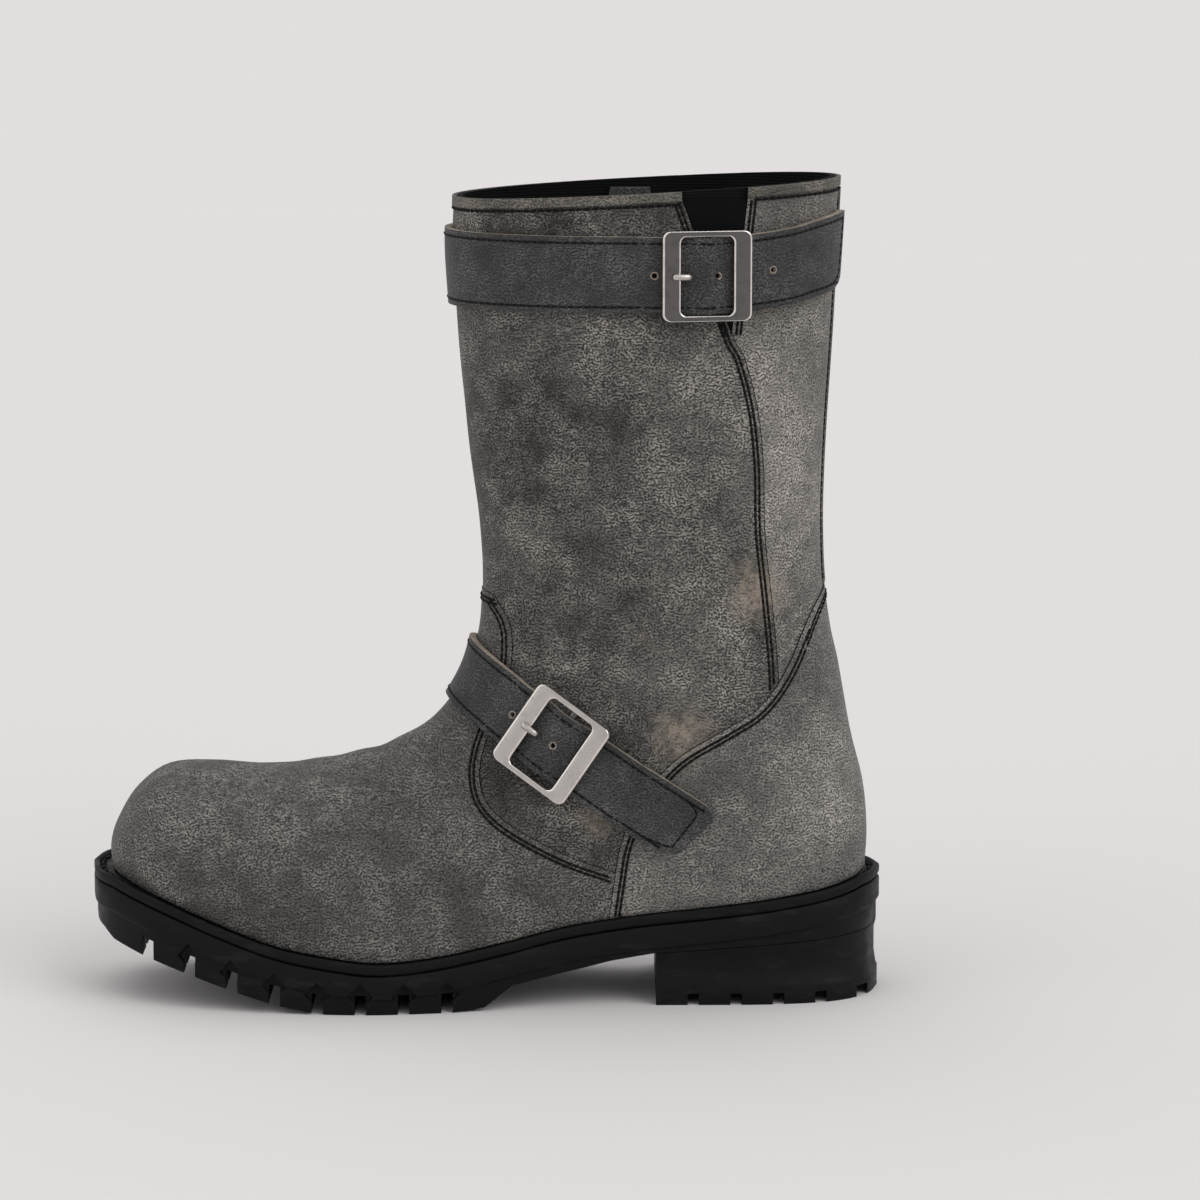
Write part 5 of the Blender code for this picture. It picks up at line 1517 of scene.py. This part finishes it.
outsole_loops = profile_loops(lambda x: 0.0, (OUTSOLE_LOW,)) + profile_loops(outsole_top, OUTSOLE_PROFILE)
outsole = dressed("outsole", stack(outsole_loops), black_rubber, ("outsole",))


def slotted(line, x_low, x_high, depth, pitch, gap):
    """Lower edge of a lugged face: the line cut by slots every pitch."""
    points = []
    x = x_low
    while x < x_high - 0.4 * pitch:
        lug_end = min(x + pitch - gap, x_high)
        points += [(x, line(x)), (lug_end, line(lug_end))]
        if lug_end + gap < x_high - 0.4 * pitch:
            points += [(lug_end, line(lug_end) + depth), (lug_end + gap, line(lug_end + gap) + depth)]
        x += pitch
    return points


lower = [(FAR_FRONT, tread(FAR_FRONT) + LUG_DEPTH * 0.5)]
lower += [(TREAD_START - LUG_GAP, tread(TREAD_START) + LUG_DEPTH * 0.5)]
lower += slotted(tread, TREAD_START, TREAD_END, LUG_DEPTH, LUG_PITCH, LUG_GAP)
lower += [(TREAD_END + 0.0015, arch(TREAD_END))]
lower += [point for point in ARCH if point[0] > TREAD_END + 0.003]
carve(outsole, rubber_prism("outsole_cut", lower + [(lower[-1][0], 0.10), (FAR_FRONT, 0.10)]), "INTERSECT")
groove_reach = -GROOVE_INSET - GROOVE_WIDTH
groove = rubber_cutter("outsole_groove", stack([
    sole_loop(-GROOVE_INSET, lambda x: BELOW_FLOOR),
    sole_loop(-GROOVE_INSET, lambda x: tread(x) + LUG_DEPTH),
    sole_loop(groove_reach, lambda x: tread(x) + LUG_DEPTH),
    sole_loop(groove_reach, lambda x: BELOW_FLOOR),
], ring=True))
groove_end_x = TREAD_END + 0.001
groove_end = [(groove_end_x, -0.03), (0.2, -0.03), (0.2, 0.05), (groove_end_x, 0.05)]
carve(groove, rubber_prism("groove_end", groove_end), "DIFFERENCE")
baked(groove)
carve(outsole, groove, "DIFFERENCE")


SCALLOP_REACH = -0.0012
SCALLOP_STAND = 0.004


def scallops(first, last, pitch):
    """Short four-sided drums that hollow the side wall above each slot."""
    bm = bmesh.new()
    edge = sole_loop(SCALLOP_REACH, lambda x: 0.0)
    x = first
    while x < last:
        for sign in (-1.0, 1.0):
            side = [point for point in edge if point.y * sign > 0]
            near = sorted(side, key=lambda point: abs(point.x - x))[:2]
            a, b = sorted(near, key=lambda point: point.x)
            share = (x - a.x) / (b.x - a.x)
            spot = a.lerp(b, share)
            run = (b - a).normalized()
            out = Vector((run.y, -run.x, 0.0)) * (1.0 if sign < 0 else -1.0)
            spot.z = tread(x) + LUG_DEPTH
            across = out.cross(Vector((0, 0, 1)))
            turn = Matrix((across, Vector((0, 0, 1)), out)).transposed().to_4x4()
            place = Matrix.Translation(spot + out * SCALLOP_STAND) @ turn
            bmesh.ops.create_cone(bm, cap_ends=True, segments=4, radius1=SCALLOP_RADIUS * 0.8,
                                  radius2=SCALLOP_RADIUS, depth=2 * (SCALLOP_STAND + SCALLOP_DEPTH),
                                  matrix=place)
        x += pitch
    bmesh.ops.recalc_face_normals(bm, faces=bm.faces)
    return bm


first_scallop = TREAD_START + 2 * LUG_PITCH - LUG_GAP / 2
drums = scallops(first_scallop, TREAD_END - LUG_PITCH / 2, LUG_PITCH)
carve(outsole, rubber_cutter("outsole_scallops", drums), "DIFFERENCE")
rounded(outsole, LUG_ROUND, 40)

heel_loops = profile_loops(lambda x: 0.0, HEEL_FOOT_PROFILE)
heel_loops += profile_loops(lambda x: arch(x) - GAP, HEEL_TOP_PROFILE)
heel = dressed("heel", stack(heel_loops), black_rubber, ("heel",))
heel_lower = slotted(lambda x: 0.0, HEEL_BREAST_X, HEEL_END, HEEL_LUG_DEPTH, LUG_PITCH, LUG_GAP)
heel_lower = [(x, z if z > 0 else -0.005) for x, z in heel_lower]
heel_outline = heel_lower + [(FAR_BACK, heel_lower[-1][1]), (FAR_BACK, 0.06), (HEEL_BREAST_X, 0.06)]
carve(heel, rubber_prism("heel_cut", heel_outline), "INTERSECT")
rounded(heel, LUG_ROUND, 40)

# Insole: a sock of black leather over the board, which follows the welt's upper face. Its upper edge is
# rounded off a little.
insole_leather = leather_material("insole leather", (0.016, 0.014, 0.012, 1.0), (0.040, 0.035, 0.030, 1.0),
                                  (0.070, 0.062, 0.054, 1.0), 0.5, 0.8, 0.7, 0.0001)
INSOLE_REACH = -LINING_WALL - INSOLE_CLEARANCE
INSOLE_PROFILE = ((INSOLE_REACH, 0.0), (INSOLE_REACH, INSOLE_THICKNESS - 0.001),
                  (INSOLE_REACH - 0.0008, INSOLE_THICKNESS))
insole_loops = profile_loops(lambda x: welt_top(x) + SEAT_GAP, INSOLE_PROFILE, welted=False)
insole = dressed("insole", stack(insole_loops), insole_leather, ("insole",))
insole.data.shade_smooth()
insole.data.set_sharp_from_angle(angle=math.radians(50))

for cutter in cutters:
    bpy.data.objects.remove(cutter)

# Stage: a seamless pale floor, soft studio light from all round that is strongest from the right and
# above, and the camera at the photograph's angle, looking down 8.6 degrees from 1.9 m away.
paper, paper_nodes, paper_shader, paper_place = finish_material("pale paper", Roughness=0.9)
paper_shade = paper_nodes.noise(paper_place, 1.5, 2.0)
PAPER_DARK = (0.730, 0.705, 0.705, 1.0)
PAPER_LIGHT = (0.745, 0.720, 0.720, 1.0)
paper_nodes.feed(paper_shader, "Base Color", paper_nodes.mix(paper_shade, PAPER_DARK, PAPER_LIGHT))
sheet = bmesh.new()
bmesh.ops.create_grid(sheet, x_segments=1, y_segments=1, size=60.0)
floor = as_object("studio_floor", sheet, paper, moved=Vector())

bpy.context.scene.view_settings.view_transform = "Standard"
world = bpy.data.worlds.new("studio")
bpy.context.scene.world = world
world.use_nodes = True
background = world.node_tree.nodes["Background"]
background.inputs["Color"].default_value = (1.0, 0.99, 0.99, 1.0)
background.inputs["Strength"].default_value = 0.62

# Sun lamps: name, the side that each shines from, strength, and how many degrees wide it is
LIGHTS = (("key", (1.6, -1.3, 1.5), 0.95, 50.0), ("fill", (-1.6, -1.0, 1.2), 0.35, 60.0),
          ("top", (-0.2, 0.5, 2.0), 0.55, 60.0))
for name, at, power, softness in LIGHTS:
    lamp_data = bpy.data.lights.new(name, "SUN")
    lamp_data.energy = power
    lamp_data.angle = math.radians(softness)
    lamp = linked(name, lamp_data)
    lamp.location = at
    lamp.rotation_euler = (-Vector(at)).to_track_quat("-Z", "Y").to_euler()

CAMERA_AT = (0.04569, -1.9046, 0.4437)
CAMERA_PITCH = 8.556
CAMERA_FOCAL = 4809.9
FRAME_PIXELS = 1200
SENSOR_WIDTH = 36.0
camera_data = bpy.data.cameras.new("camera")
camera_data.sensor_width = SENSOR_WIDTH
camera_data.lens = SENSOR_WIDTH * CAMERA_FOCAL / FRAME_PIXELS
camera_data.clip_start = 0.05
camera_data.clip_end = 200.0
camera = linked("camera", camera_data)
camera.location = Vector(CAMERA_AT) + LAST_AT
camera.rotation_euler = (math.radians(90 - CAMERA_PITCH), 0.0, 0.0)
bpy.context.scene.camera = camera
